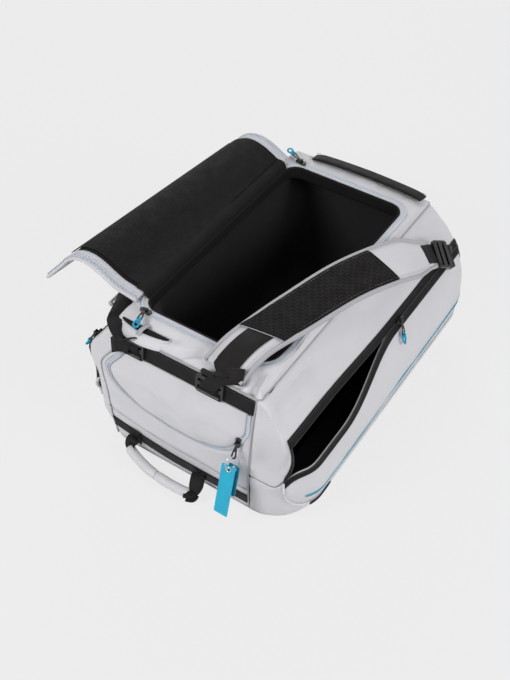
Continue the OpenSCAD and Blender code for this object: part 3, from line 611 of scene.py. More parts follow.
class Nodes:
    """Short way to lay out the nodes of a material or a world."""

    def __init__(self, owner):
        owner.use_nodes = True
        self.tree = owner.node_tree

    def add(self, kind, inputs, **settings):
        """New node, with a constant or another node's output for each input."""
        node = self.tree.nodes.new(kind)
        for key, value in settings.items():
            setattr(node, key, value)
        for key, value in inputs.items():
            self.feed(node.inputs[key], value)
        return node

    def feed(self, socket, value):
        if isinstance(value, bpy.types.NodeSocket):
            self.tree.links.new(value, socket)
        else:
            socket.default_value = value

    def math(self, operation, a, b):
        return self.add("ShaderNodeMath", {0: a, 1: b}, operation=operation).outputs[0]


class Finish(Nodes):
    """One procedural material, drawn in cloth coordinates in metres."""

    def __init__(self, name):
        self.material = bpy.data.materials.new(name)
        super().__init__(self.material)
        self.bsdf = self.tree.nodes["Principled BSDF"]
        self.uv = self.add("ShaderNodeUVMap", {}, uv_map="cloth").outputs["UV"]

    def wave(self, axis, period):
        """Bands across the cloth, one to each period in metres."""
        return self.add("ShaderNodeTexWave", {"Scale": math.pi / 10 / period, "Distortion": 0.6, "Detail": 1,
                                              "Vector": self.uv}, bands_direction=axis).outputs["Fac"]

    def noise(self, size, detail=3, at=None):
        return self.add("ShaderNodeTexNoise", {"Scale": 1 / size, "Detail": detail,
                                               "Vector": at or self.uv}).outputs["Fac"]

    def ramp(self, fac, low, high, colours):
        node = self.add("ShaderNodeValToRGB", {"Fac": fac})
        for stop, place, colour in zip(node.color_ramp.elements, (low, high), colours):
            stop.position, stop.color = place, colour
        return node.outputs["Color"]

    def tones(self, fac, low, high, colour, dark, light):
        """Ramp from a darker to a lighter tone of a colour."""
        return self.ramp(fac, low, high, (shade(colour, dark), shade(colour, light)))

    def blend(self, fac, a, b):
        return self.add("ShaderNodeMix", {0: fac, 6: a, 7: b}, data_type="RGBA").outputs[2]

    def worn(self, base, low, high, share, tone):
        """Base colour that turns to a lighter tone on ridges."""
        ridge = self.add("ShaderNodeNewGeometry", {}).outputs["Pointiness"]
        self.set(Base_Color=self.blend(self.ramp(ridge, low, high, (grey(0), grey(share))), base, tone))

    def bump(self, height, strength, distance):
        node = self.add("ShaderNodeBump", {"Strength": strength, "Distance": distance, "Height": height})
        self.set(Normal=node.outputs["Normal"])

    def rough(self, fac, low, high):
        self.set(Roughness=self.ramp(fac, 0.3, 0.7, (grey(low), grey(high))))

    def set(self, **values):
        for key, value in values.items():
            self.feed(self.bsdf.inputs[key.replace("_", " ")], value)


def cloth(name, colour, thread=0.0009, vary=0.05, strength=0.35, rough=(0.55, 0.7), sheen=0.12, shine=0.3):
    """Plain-woven cloth with a faint unevenness and lighter, worn ridges."""
    n = Finish(name)
    weave = n.math("MAXIMUM", n.wave("X", thread), n.wave("Y", thread * 1.15))
    base = n.tones(n.noise(0.09, 4), 0.3, 0.7, colour, 1 - vary, 1 + vary * 0.6)
    threads = n.tones(weave, 0.2, 0.9, colour, 0.86, 1)
    n.worn(n.blend(0.35, base, threads), 0.5, 0.6, 0.35, shade(colour, 1.18))
    n.bump(weave, strength, 0.0003)
    n.rough(n.noise(0.03), *rough)
    n.set(Sheen_Weight=sheen, Sheen_Roughness=0.4, Specular_IOR_Level=shine)
    return n.material


def webbing(name, colour):
    """Ribbed strap webbing: fine ribs along it and a coarse beat across."""
    n = Finish(name)
    ribs, beat = n.wave("X", 0.0016), n.wave("Y", 0.0024)
    weave = n.math("ADD", n.math("MULTIPLY", ribs, 0.6), n.math("MULTIPLY", beat, 0.4))
    base = n.tones(weave, 0.15, 0.85, colour, 0.6, 1.35)
    n.set(Base_Color=n.blend(0.25, base, n.tones(n.noise(0.05), 0.35, 0.65, colour, 0.7, 1.3)))
    n.bump(weave, 0.6, 0.0005)
    n.rough(n.noise(0.02), 0.5, 0.68)
    n.set(Specular_IOR_Level=0.18)
    return n.material


def air_mesh(name, colour, cell=0.0112):
    """Knitted spacer mesh: staggered slots across the strip, with raised knit between them."""
    n = Finish(name)
    across = n.add("ShaderNodeMapping", {"Rotation": (0, 0, QUARTER), "Vector": n.uv}).outputs["Vector"]
    slots = n.add("ShaderNodeTexBrick", {"Scale": 1.0, "Mortar Size": cell * 0.15, "Mortar Smooth": 0.5,
                                         "Brick Width": cell, "Row Height": cell * 0.56, "Vector": across})
    knit = n.math("ADD", slots.outputs["Fac"], n.math("MULTIPLY", n.wave("Y", 0.0012), 0.25))
    n.set(Base_Color=n.tones(knit, 0.1, 1.0, colour, 0.2, 1.15))
    n.bump(knit, 0.9, 0.0012)
    n.rough(n.noise(0.02), 0.6, 0.8)
    n.set(Specular_IOR_Level=0.12)
    return n.material


def moulded(name, colour, rough=(0.32, 0.5), grain=0.0008, metallic=0.0, strength=0.12):
    """Moulded plastic or metal with a fine grain and lighter, rubbed edges."""
    n = Finish(name)
    place = n.add("ShaderNodeTexCoord", {}).outputs["Object"]
    fine, wide = n.noise(grain, 2, place), n.noise(1 / 60, 2, place)
    n.worn(n.tones(wide, 0.3, 0.7, colour, 0.88, 1.1), 0.52, 0.64, 0.4, shade(colour, 1.6))
    n.bump(fine, strength, 0.0002)
    n.rough(wide, *rough)
    n.set(Metallic=metallic)
    return n.material


BLACK = srgb(27, 25, 26)
DULL = dict(sheen=0.0, shine=0.15)
LINING_LOOK = dict(thread=0.0011, vary=0.12, rough=(0.7, 0.85), sheen=0.0, shine=0.12)
TAPE_LOOK = dict(thread=0.0007, strength=0.5)
TAG_LOOK = dict(rough=(0.4, 0.55), grain=0.0006, strength=0.25)
SHELL = cloth("shell_cloth", srgb(209, 208, 212))
FLAP_SHELL = cloth("flap_shell_cloth", srgb(200, 199, 203))
BINDING = cloth("binding_cloth", srgb(170, 170, 175), thread=0.0012, strength=0.5)
# Seam tubes: real piping, but their darker grey is painted shade that stands in for the shadow along each seam
SEAM_SHADE_CLOTH = cloth("seam_shade_cloth", srgb(160, 160, 165), thread=0.0008)
SACK = cloth("sack_lining_cloth", srgb(46, 44, 45), **LINING_LOOK)
LINING = cloth("lining_cloth", BLACK, **LINING_LOOK)
BASE_CLOTH = cloth("base_cloth", srgb(30, 28, 30), thread=0.0016, strength=0.6, **DULL)
TAPE_PALE = cloth("pale_tape_cloth", srgb(198, 201, 207), **TAPE_LOOK)
TAPE_ZIP = cloth("door_tape_cloth", srgb(196, 199, 205), **TAPE_LOOK)
TAPE_BLACK = cloth("black_tape_cloth", srgb(25, 23, 24), **TAPE_LOOK, **DULL)
ACCENT = cloth("accent_cloth", srgb(40, 160, 186))
WEBBING = webbing("black_webbing", srgb(22, 19, 20))
MESH = air_mesh("strap_mesh", srgb(27, 24, 25))
NET = air_mesh("pocket_mesh", srgb(33, 31, 32), cell=0.0035)
COIL_PALE = moulded("pale_coil", srgb(182, 191, 203), rough=(0.3, 0.45))
COIL_BLACK = moulded("black_coil", srgb(24, 22, 23))
PLASTIC = moulded("moulded_black", srgb(24, 22, 23), rough=(0.3, 0.45))
STIFFENER = moulded("stiffener_board", srgb(42, 40, 41), rough=(0.6, 0.8), grain=0.002)
STEEL = moulded("ring_steel", srgb(196, 197, 200), rough=(0.2, 0.34), metallic=1.0, strength=0.05)
TAG = moulded("tag_rubber", srgb(4, 158, 190), **TAG_LOOK)
TAG_DARK = moulded("tag_rubber_dark", srgb(10, 118, 146), **TAG_LOOK)
PULL_TEAL = cloth("pull_loop_teal", srgb(12, 160, 196), thread=0.0011, strength=0.9)
THREAD = cloth("grey_thread", srgb(186, 186, 192), thread=0.0005)
THREAD_BLACK = cloth("black_thread", srgb(58, 55, 56), thread=0.0005)
SHELL_PAIR = [SHELL, LINING]

# Slot that each finish fills, where it isn't the shell's cloth
SLOTS = {"lining_fabric": (SACK, LINING), "base_fabric": (BASE_CLOTH,), "mesh_fabric": (MESH, NET),
         "pale_zip": (TAPE_PALE, TAPE_ZIP, COIL_PALE), "black_zip": (TAPE_BLACK, COIL_BLACK),
         "black_webbing": (WEBBING, THREAD_BLACK), "black_plastic": (PLASTIC,), "ring_steel": (STEEL,),
         "teal_tag": (ACCENT, PULL_TEAL)}
SLOT_OF = {finish.name: slot for slot, finishes in SLOTS.items() for finish in finishes}


# Mesh building

def place(obj, body="root", slot=None, nodes=(), padded=None, sheet=None):
    """Ride a finished piece on a body, or bend it from one to the next, and say what it stands for."""
    if isinstance(body, str):
        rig.ride(obj, body)
    else:
        a, b, start, end = body
        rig.blend(obj, a, b, start=tuple(start * MM), end=tuple(end * MM))
    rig.slot(obj, slot or SLOT_OF.get(obj.data.materials[0].name, "shell_fabric"))
    if nodes:
        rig.replaces(obj, *nodes)
    if padded is not None:
        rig.padded(obj, fill=padded)
    if sheet is not None:
        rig.sheet(obj, **sheet)
    return obj


def add_object(name, verts, faces, uvs, materials, recalc=True, weld=False):
    """Mesh object from points in millimetres, with cloth coordinates for each face corner."""
    mesh = bpy.data.meshes.new(name)
    mesh.from_pydata([tuple(v * MM) for v in verts], [], faces)
    layer = mesh.uv_layers.new(name="cloth")
    for loop, (u, v) in zip(layer.data, [c for face in uvs for c in face]):
        loop.uv = (u * MM, v * MM)
    for material in materials:
        mesh.materials.append(material)
    if recalc:
        bm = bmesh.new()
        bm.from_mesh(mesh)
        if weld:
            bmesh.ops.remove_doubles(bm, verts=bm.verts, dist=1e-6)
        bmesh.ops.recalc_face_normals(bm, faces=bm.faces)
        bm.to_mesh(mesh)
        bm.free()
    mesh.shade_smooth()
    obj = bpy.data.objects.new(name, mesh)
    bpy.context.collection.objects.link(obj)
    return obj


def grid_object(name, rows, materials, closed=True, caps=False, centre=None, looped=False, recalc=True):
    """Object through a grid of points.

    closed joins the last column to the first, looped the last row. caps fills the first and last row with a
    face each, and centre names the row, first or last, that a fan fills."""
    if looped:
        rows = rows + [list(rows[0])]
    n, m = len(rows[0]), len(rows)
    middle = rows[m // 2]
    us = lengths_of(list(middle) + ([middle[0]] if closed else []))
    vs = lengths_of([row[n // 2] for row in rows])
    verts = [p for row in rows for p in row]
    faces, uvs = [], []
    for r in range(m - 1):
        for c in range(n if closed else n - 1):
            d = (c + 1) % n
            faces.append((r * n + c, r * n + d, (r + 1) * n + d, (r + 1) * n + c))
            uvs.append(((us[c], vs[r]), (us[c + 1], vs[r]), (us[c + 1], vs[r + 1]), (us[c], vs[r + 1])))
    for r in (0, m - 1) if caps else ():
        faces.append(tuple(r * n + c for c in range(n)))
        uvs.append(tuple((p - rows[r][0]).xy.to_tuple() for p in rows[r]))
    if centre:
        r = 0 if centre == "first" else m - 1
        verts.append(sum(rows[r], Vector((0, 0, 0))) / n)
        reach = (rows[r][0] - verts[-1]).length
        for c in range(n):
            d = (c + 1) % n
            pair = (d, c) if centre == "first" else (c, d)
            faces.append((m * n, r * n + pair[0], r * n + pair[1]))
            uvs.append(((us[c], vs[r] - reach), (us[c], vs[r]), (us[c + 1], vs[r])))
    return add_object(name, verts, faces, uvs, materials, recalc, weld=looped)


def smoothed(obj, levels):
    """The object with a subdivision, if any, and its other modifiers made part of its mesh."""
    if levels:
        obj.modifiers.new("smooth", "SUBSURF").levels = levels
    if obj.modifiers:
        graph = bpy.context.evaluated_depsgraph_get()
        old, obj.data = obj.data, bpy.data.meshes.new_from_object(
            obj.evaluated_get(graph), preserve_all_data_layers=True, depsgraph=graph)
        obj.modifiers.clear()
        bpy.data.meshes.remove(old)
        obj.data.name = obj.name
        obj.data.shade_smooth()
    return obj


def panel(name, rows, materials, facing, thick=2.0, levels=1, closed=False, middle=False, centre=None,
          **where):
    """Sheet of cloth through a grid of points; facing is the way its outside looks."""
    obj = grid_object(name, rows, materials, closed, centre=centre, recalc=False)
    total = sum((face.normal * face.area for face in obj.data.polygons), Vector((0, 0, 0)))
    if total.dot(Vector(facing)) < 0:
        obj.data.flip_normals()
    solid = obj.modifiers.new("thickness", "SOLIDIFY")
    solid.thickness = thick * MM
    solid.offset = 0 if middle else -1
    if len(materials) > 1:
        solid.material_offset = 1
    return place(smoothed(obj, levels), **where)


def sweep(name, path, ups, profile, material, levels=0, scale=None, closed=False, **where):
    """Closed profile of across and up pairs, swept along a path."""
    rows = []
    for i, (p, t, a, n) in enumerate(frames(path, ups, closed)):
        k = scale(i / (len(path) - 1)) if scale else (1, 1)
        rows.append([p + a * (x * k[0]) + n * (y * k[1]) for x, y in profile])
    obj = grid_object(name, rows, [material], caps=not closed, looped=closed)
    return place(smoothed(obj, levels), **where)


def oval(w, t, n=12, power=1.0, up_power=None):
    """Profile of an oval; a power under 1 squares it off."""
    up_power = up_power or power
    return [(math.copysign(abs(c) ** power, c) * w / 2, math.copysign(abs(s) ** up_power, s) * t / 2)
            for c, s in circle(n)]


def flat_profile(w, t, r=0.6):
    """Profile of a strip of webbing with eased edges."""
    x, y = w / 2, t / 2
    return [(-x + r, -y), (-x / 3, -y), (x / 3, -y), (x - r, -y), (x, 0),
            (x - r, y), (x / 3, y), (-x / 3, y), (-x + r, y), (-x, 0)]


def tube(name, path, r, material, closed=False, step=5.0, **where):
    """Round piping along a path."""
    pts, _ = even(path, step, closed=closed)
    ups = carried(pts, (0.31, 0.22, 0.92), closed)
    if closed:
        ups = [up.lerp(ups[0], ease((i / len(pts) - 0.9) / 0.1)).normalized() for i, up in enumerate(ups)]
    return sweep(name, pts, ups, oval(2 * r, 2 * r, 8), material, closed=closed, **where)


def beads(name, runs, material=THREAD, size=STITCH, pitch=STITCH_PITCH, lift=0.0, **where):
    """Eased blocks along runs of a path and its ups: zip teeth or stitches."""
    verts, faces, uvs = [], [], []
    half = Vector(size) / 2
    ring = [(-1, -1), (1, -1), (1, 1), (-1, 1)]
    quads = [(3, 2, 1, 0), (8, 9, 10, 11)]
    quads += [(r + i, r + (i + 1) % 4, r + 4 + (i + 1) % 4, r + 4 + i) for r in (0, 4) for i in range(4)]
    for path, ups in runs:
        for p, t, a, n in frames(*even(path, pitch, ups)):
            faces += [tuple(len(verts) + i for i in q) for q in quads]
            uvs += [((0, 0), (size[0], 0), (size[0], size[1]), (0, size[1]))] * len(quads)
            at = p + n * (lift + half.z)
            for level, k in ((-1, 0.9), (0.1, 1.0), (1, 0.62)):
                verts += [at + t * (i * half.x * k) + a * (j * half.y * k) + n * (level * half.z)
                          for i, j in ring]
    return place(add_object(name, verts, faces, uvs, [material]), **where)


def zip_rows(name, teeth, stitches, tooth, coil=COIL_PALE, thread=THREAD, lift=0.0, **where):
    """Teeth of a zip tape and the stitches that hold it."""
    beads(name + "_teeth", teeth, coil, tooth, TEETH_PITCH, lift, **where)
    beads(name + "_stitches", stitches, thread, ZIP_STITCH, ZIP_STITCH_PITCH, **where)


# Camera, fitted to the photograph

PHOTO_H, FOCAL_PX = 680, 982.23
AZIMUTH, ELEVATION = math.radians(33.53), math.radians(46.64)
CAMERA_AT = Vector((0.6070, -0.9891, 1.3155))


def build_camera():
    data = bpy.data.cameras.new("camera")
    data.sensor_width = 36
    data.lens = FOCAL_PX / PHOTO_H * data.sensor_width
    camera = bpy.data.objects.new("camera", data)
    bpy.context.collection.objects.link(camera)
    right = Vector((math.cos(AZIMUTH), math.sin(AZIMUTH), 0))
    level = math.cos(ELEVATION)
    back = Vector((math.sin(AZIMUTH) * level, -math.cos(AZIMUTH) * level, math.sin(ELEVATION)))
    turn = Matrix((right, back.cross(right), back)).transposed().to_4x4()
    camera.matrix_world = Matrix.Translation(CAMERA_AT) @ turn
    bpy.context.scene.camera = camera


# Side panels

def build_gusset(side):
    def at(s, v):
        low = gusset_low(s, side)
        z = mix(low, DECK_Z - SEAM, v)
        p = skin(z, s, 0, side)
        edge = ease((min(v, 1 - v) * (DECK_Z - low) - 5) / 24) * ease(min(s, 5 - s) / 0.4)
        lift = rumple(along(p, (1, 2.6, 1)), GUSSET_LONG, side) + rumple(p, GUSSET_SHORT, side)
        if side == RIGHT:
            lift -= furrows(p, GUSSET_FURROWS)
        return skin(z, s, lift * edge, side)
    name = LABEL[side] + "_gusset"
    panel(name + "_cloth", grid(steps(0, 1, 16), stations(), at), SHELL_PAIR, (side, 0, 0), thick=SHELL_T,
          nodes=(name,), padded=0.35)


def build_skirt(side):
    beside_front = [s + way * d for s, way in ((FRONT_S0, -1), (FRONT_S1, 1)) for d in (0.009, 0.011)]
    columns = sorted(stations() + beside_front)

    def at(s, v):
        z = mix(BASE_T + SEAM - 2, skirt_top(s), v)
        p = skin(z, s, 0, side)
        edge = ease(min(v, 1 - v) * (skirt_top(s) - BASE_T) / 18)
        folds = rumple(p, SKIRT_FOLDS, side)
        return skin(z, s, folds * edge, side)
    name = LABEL[side] + "_skirt"
    panel(name + "_cloth", grid(steps(0, 1, 9), columns, at), SHELL_PAIR, (side, 0, 0), thick=SHELL_T,
          nodes=(name,), padded=0.3)


def build_front(side):
    def at(s, v):
        p = front_point(s, v, side)
        edge = ease(min(v, 1 - v) * (front_top(s, side) - front_low(s)) / 22)
        folds = rumple(along(p, (1, 2, 1)), FRONT_LONG, side) + rumple(p, FRONT_SHORT, side)
        return front_point(s, v, side, edge * folds)
    name, columns = LABEL[side] + "_front", stations(FRONT_S0, FRONT_S1)
    panel(name + "_cloth", grid(steps(0, 1, 14), columns, at), SHELL_PAIR, (side, 0, 0), thick=3.4,
          nodes=(name + "_panel",), padded=0.6)
    low = [front_point(s, 0, side, 1.0) for s in columns]
    near, far = [[front_point(s, v, side, 1.0) for v in steps(0, 1, 6)] for s in (FRONT_S0, FRONT_S1)]
    tube(name + "_piping", near[:0:-1] + low + far[1:], 2.0, SHELL)
    inner = [front_point(s, 0.075, side) for s in stations(FRONT_S0 + 0.08, FRONT_S1 - 0.08)]
    beads(name + "_stitches", [(inner, Vector((side, 0, 0)))], size=BOLD_STITCH)


def build_lips(side):
    """Zip tapes along both lips of a racket compartment, with the teeth at their meeting edges."""
    proud = SEAM + 1.4
    columns = stations(FRONT_S0, FRONT_S1)
    out = Vector((side, 0, 0.3)).normalized()

    def upper(s, k):
        return skin(gusset_low(s, side) + k * TAPE_W, s, proud, side)

    def lower(s, k):
        low, top = front_low(s), front_top(s, side)
        z = top - k * TAPE_W
        return skin(z, s, front_out(s, (z - low) / (top - low), side) + proud, side)

    for word, at, nodes in (("upper", upper, (LABEL[side] + "_zip_tape",)), ("lower", lower, ())):
        name = "%s_zip_%s" % (LABEL[side], word)
        panel(name + "_tape", grid((0.0, 0.5, 1.0), columns, at), [TAPE_BLACK], (side, 0, 0), thick=TAPE_T,
              nodes=nodes)
        teeth, stitches = [([at(s, k) for s in columns], out) for k in (0.0, 0.78)]
        zip_rows(name, [teeth], [stitches], RACKET_TOOTH, COIL_BLACK, THREAD_BLACK, -0.4, slot="black_zip")


# Ends, shoe door and its zip

def end_loops(n=72):
    """Rays from the middle of the near panel to the door's outline and to the panel's edge, as x and z."""
    cx, cz = 0.0, 165.0
    low, top = BASE_T + SEAM, DECK_Z - SEAM
    outer = [(end_half(low), low), (end_half(top), top), (-end_half(top), top), (-end_half(low), low)]
    inner = door_edge(0.6)

    def hit(loop, a):
        dx, dz, reach = math.cos(a), math.sin(a), 0
        for (x0, z0), (x1, z1) in zip(loop, loop[1:] + loop[:1]):
            ex, ez, fx, fz = x1 - x0, z1 - z0, x0 - cx, z0 - cz
            det = ex * dz - ez * dx
            if abs(det) >= 1e-9 and -1e-6 <= (dx * fz - dz * fx) / det <= 1 + 1e-6:
                reach = max(reach, (ex * fz - ez * fx) / det)
        return cx + reach * dx, cz + reach * dz

    wanted = steps(0, 2 * math.pi, n)[:-1]
    wanted += [math.atan2(z - cz, x - cx) % (2 * math.pi) for x, z in outer + [inner[0], inner[-1]]]
    return [(hit(inner, a), hit(outer, a)) for a in sorted(set(round(a, 5) for a in wanted))]


def near_point(x, z, lift=0.0):
    """Point on the near end, which runs on round the left corner."""
    run, r = -near_x(x, z), corner_r(NEAR_CORNER, z)
    flat = side_w(z) - r
    if run < flat:
        s = (run - end_half(z)) / (flat - end_half(z))
        return Vector((-run + tuck(z, s) * max(0, s), near_y(z) - lift, z))
    a = (run - flat) / r
    return Vector((-flat - (r + lift) * math.sin(a) + tuck(z, 1 + a / QUARTER),
                   near_y(z) + r - (r + lift) * math.cos(a), z))


def near_rise(x):
    """How far the low band and the seam over it climb toward the left."""
    return NEAR_RISE * ease((-20 - x) / 130)


def near_seam(x):
    """Level of the seam that runs over the low band."""
    return 68 + near_rise(x) - 6 * ease((x - 40) / 70)


def build_near_end():
    def at(ends, t):
        (xi, zi), (xo, zo) = ends
        x, z = mix(xi, xo, t), mix(zi, zo, t)
        p, level = near_point(x, z), near_seam(x)
        edge = ease(min(t, 1 - t) * math.hypot(xo - xi, zo - zi) / 16)
        groove = math.exp(-((z - level) / 3.5) ** 2) if z < DOOR_LOW - 10 else 0
        over = ease((z - level) / 5) * ease((level + 26 - z) / 20)
        free = ease((z - LOW_BAND_HIGH - near_rise(x) - 3) / 14) * ease((BAND_LOW - 2 - z) / 10)
        folds = 2.4 + rumple(p, NEAR_FOLDS) + 2.4 * over
        return near_point(x, z, edge * free * folds - 1.6 * groove - (0.8 if t in (0, 1) else 0))
    panel("near_end_cloth", grid(steps(0, 1, 16), end_loops(), at), SHELL_PAIR, NEARWARD, thick=SHELL_T,
          closed=True, nodes=("near_end_panel",), padded=0.3)
    xs = steps(-END_HALF_LOW - 4, END_HALF_LOW + 4, 50)
    # Piping over the seam; its darker grey is painted shade along the seam line
    tube("near_seam_piping", [near_point(x, near_seam(x), 2.4) for x in xs], 1.0, SEAM_SHADE_CLOTH)
    beads("near_seam_stitches", [([near_point(x, near_seam(x) + 5.0, 4.4) for x in xs], NEARWARD)])


def build_far_end():
    def at(u, v):
        z = mix(BASE_T + SEAM, DECK_Z - SEAM, v)
        p = Vector((u * end_half(z), far_y(z), z))
        folds = 2.4 + rumple(p, FAR_FOLDS)
        return p - NEARWARD * (ease(min(1 - abs(u), v, 1 - v) * 6) * folds)
    panel("far_end_cloth", grid(steps(0, 1, 18), steps(-1, 1, 22), at), SHELL_PAIR, -NEARWARD, thick=SHELL_T,
          nodes=("far_end_panel",), padded=0.35)


def build_shoe_door():
    centre_z = 172.0
    outline = door_edge(-0.6)
    top = [(x, DOOR_TOP - 0.6) for x in steps(outline[-1][0], outline[0][0], 24)[1:-1]]

    def at(edge, rho):
        x, z = edge[0] * rho, mix(centre_z, edge[1], rho)
        p = Vector((x, 0, z))
        bulge = (5 + 8 * ease((DOOR_TOP - z) / 50)) * (1 - rho ** 3) ** 0.6
        folds = rumple(p, DOOR_FOLDS)
        return near_point(x, z, bulge + ease((1 - rho) * 6) * folds)
    rings = (0.08, 0.2, 0.32, 0.45, 0.57, 0.68, 0.78, 0.86, 0.93, 0.97, 1.0)
    panel("shoe_door_cloth", grid(rings, outline + top, at), SHELL_PAIR, NEARWARD, thick=SHELL_T, closed=True,
          centre="first", body="shoe_door", nodes=("shoe_door",), padded=0.5)


def door_line(grow, lift):
    return [near_point(x, z, lift) for x, z in door_edge(grow)]


def build_shoe_zip():
    for word, body, g0, g1, node in (("outer", "root", 0.5, 7.0, "shoe_zip_tape"),
                                     ("inner", "shoe_door", -0.5, -6.0, "shoe_door_zip_tape")):
        name, where = "shoe_zip_" + word, dict(body=body, slot="pale_zip")
        rails = [door_line(g, 2.2 - abs(g) * 0.08) for g in (g0, mix(g0, g1, 0.5), g1)]
        panel(name + "_tape", rails, [TAPE_ZIP], NEARWARD, thick=TAPE_T, nodes=(node,), **where)
        teeth, stitches = [(door_line(g, 1.9), NEARWARD) for g in (g0 * 3.4, mix(g0, g1, 0.8))]
        zip_rows(name, [teeth], [stitches], SHOE_TOOTH, **where)
    # Tube along the fold at the door's edge; its darker grey is painted shade that stands in for the shadow of the
    # door's edge
    tube("shoe_door_edge_shade_line", door_line(-3.6, 3.0), SEAM_R, SEAM_SHADE_CLOTH, body="shoe_door")


def build_shoe_liner():
    half, low, high = 113, 63, 245
    front = near_y(high + 1) + WALL + SEAM
    rows = []
    for depth, inset in ((0, 0), (16, 0), (34, 1), (50, 2), (60, 5), (64, 14)):
        y = front + depth
        loop = round_rect(-half + inset, half - inset, low + inset, high - inset, 10, 4, 10)
        rows.append([Vector((p.x, y + 1.5 * ripple((p.x, y, p.y), 40, 41), p.y)) for p in loop])
    for k in (0.7, 0.4, 0.15):
        rows.append([Vector((p.x * k, front + 65 + 1.5 * ripple((p.x * k, p.z, 0), 50, 43),
                             mix((low + high) / 2, p.z, k))) for p in rows[5]])
    panel("shoe_pocket_cloth", rows, [LINING], NEARWARD, thick=1.0, closed=True, centre="last",
          nodes=("shoe_pocket_liner",),
          sheet=dict(flat=(0.36, 0.32), held="hung", rests_on=["near_end_cloth"], area=0.09))


# Deck, rim, lining

# Samples along each side of the deck, close enough for its furrows
DECK_SIDE_N = 48


def build_deck():
    seam = round_rect(-side_w(DECK_Z), side_w(DECK_Z), near_y(DECK_Z), far_y(DECK_Z), DECK_CORNER,
                      side_n=DECK_SIDE_N)

    def at(ends, t):
        a, b = ends
        k = 1 - math.cos(QUARTER * t)
        p = Vector((mix(a.x, b.x, k), mix(a.y, b.y, k), mix(DECK_Z, RIM_Z, math.sin(QUARTER * t))))
        folds = rumple(p, DECK_FOLDS)
        return p + UP * ((folds - furrows(p, DECK_FURROWS)) * math.sin(math.pi * t))
    rows = grid(steps(0, 1, 12), list(zip(seam, opening(LEDGE_W, 0, DECK_SIDE_N))), at)
    rows += [opening(grow, RIM_Z + h, DECK_SIDE_N) for grow, h in ((LEDGE_W / 2, 0.3), (0, -0.4))]
    panel("top_deck_cloth", rows, SHELL_PAIR, UP, thick=2.6, closed=True, nodes=("top_deck",), padded=0.3)
    build_slit()
    # Piping round the deck seam; its darker grey is painted shade for the shadow line at the seam
    tube("deck_seam_piping", [Vector((p.x, p.y, DECK_Z + 0.6)) for p in seam], 1.5, SEAM_SHADE_CLOTH, closed=True)


def build_slit():
    """Slack fold of the deck at its near left corner, the dark slit behind it and a small loop across."""
    lip, dark = [], []
    for u in steps(0, 1, 28):
        x = mix(-122, -36, u)
        b = math.sin(math.pi * u) ** 0.8
        w = 1.2 * b * ripple((x, 0, 0), 18, 91)
        sunk = 4 * ease(1 - min(u, 1 - u) / 0.16)
        lip.append([Vector((x, y + sunk, z - sunk)) for y, z in (
            (-257.5 - b, 267.5), (-259 - 8 * b, 267 - b), (-258.5 - 11 * b + w, 272),
            (-251 - 12 * b + w, 279 + b), (-247 - 11 * b, 281.6 + b), (-245 - 8 * b, 280 + b),
            (-244 - 5 * b, 276))])
        dark.append([Vector((x, y, z)) for y, z in (
            (-245 - 9 * b, 279.6), (-244.4 - 6 * b, 280.6 + b), (-243.6 - 2 * b, 281.6 + b),
            (-242.6, 281.8))])
    panel("deck_slit_lip", list(zip(*lip)), [SHELL], (0, -1, 0.5), thick=1.6)
    panel("deck_slit_lining", list(zip(*dark)), [LINING], UP, thick=0.8)
    loop = spline([(-79, -239, 283.6), (-79, -247, 285.6), (-79.5, -255, 285.6), (-80, -261, 281)], 6)
    sweep("deck_slit_loop", loop, carried(loop, UP), flat_profile(8, 1.3, 0.4), BINDING)


def rim_part(loop):
    """Stretch of a loop round the opening, from hinge corner to hinge corner, that bears the main zip."""
    def nearest(points, y):
        corner = Vector((-OPEN_W / 2, y))
        return min(range(len(points)), key=lambda i: (points[i].xy - corner).length)
    start = nearest(loop, -OPEN_NEAR + OPEN_R)
    ordered = loop[start:] + loop[:start]
    return ordered[:nearest(ordered, OPEN_FAR - OPEN_R) + 1]


def build_rim():
    def rail(grow, h):
        return rim_part(opening(grow, RIM_Z + h))
    panel("main_zip_cloth", [rail(0.4, 1.0), rail(3.5, 1.8), rail(8.5, 1.8), rail(12, 1.4)], [TAPE_PALE], UP,
          thick=TAPE_T, nodes=("main_zip_tape",))
    stitches = [(rail(grow, 1.5), UP) for grow in (2.6, 6.0)]
    zip_rows("main_zip", [(rail(9.6, 1.4), UP)], stitches, MAIN_TOOTH, slot="pale_zip")
    section = ((1.4, 0.4), (0.6, 1.9), (-1.2, 2.4), (-2.6, 1.2), (-3.0, -2.0), (-2.6, -10), (-2.8, -FACING_H))
    panel("rim_facing_cloth", [opening(grow, RIM_Z + h) for grow, h in section], [LINING], UP, thick=1.6,
          closed=True, nodes=("rim_facing",))


def build_lining():
    """Black sack inside the main compartment."""
    half_w, near, far, r = 112, -178, 240, 24
    centre_y, half_l = (near + far) / 2, (far - near) / 2
    rows = [opening(-4, RIM_Z - FACING_H + 6)]
    for z, grow in ((252, 1), (232, 6), (200, 8), (150, 8), (100, 8), (60, 7), (30, 4), (16, -4), (11, -18)):
        row = []
        for p in round_rect(-half_w - grow, half_w + grow, near - grow, far + grow, r + grow):
            q = Vector((p.x, p.y, z))
            fold = rumple(q, SACK_FOLDS) * ease((262 - z) / 40)
            out = Vector((p.x / half_w, (p.y - centre_y) / half_l, 0)).normalized()
            row.append(q + out * min(1.5, fold))
        rows.append(row)
    for k in (0.8, 0.6, 0.4, 0.2):
        rows.append([Vector((p.x * k, mix(centre_y, p.y, k),
                             10.5 + 1.2 * ripple((p.x * k, p.y * k, 0), 60, 59))) for p in rows[9]])
    panel("main_lining_cloth", rows, [SACK], UP, thick=1.0, closed=True, centre="last",
          sheet=dict(flat=(0.80, 0.80), held="hung", rests_on=["rim_facing_cloth"], area=0.42))


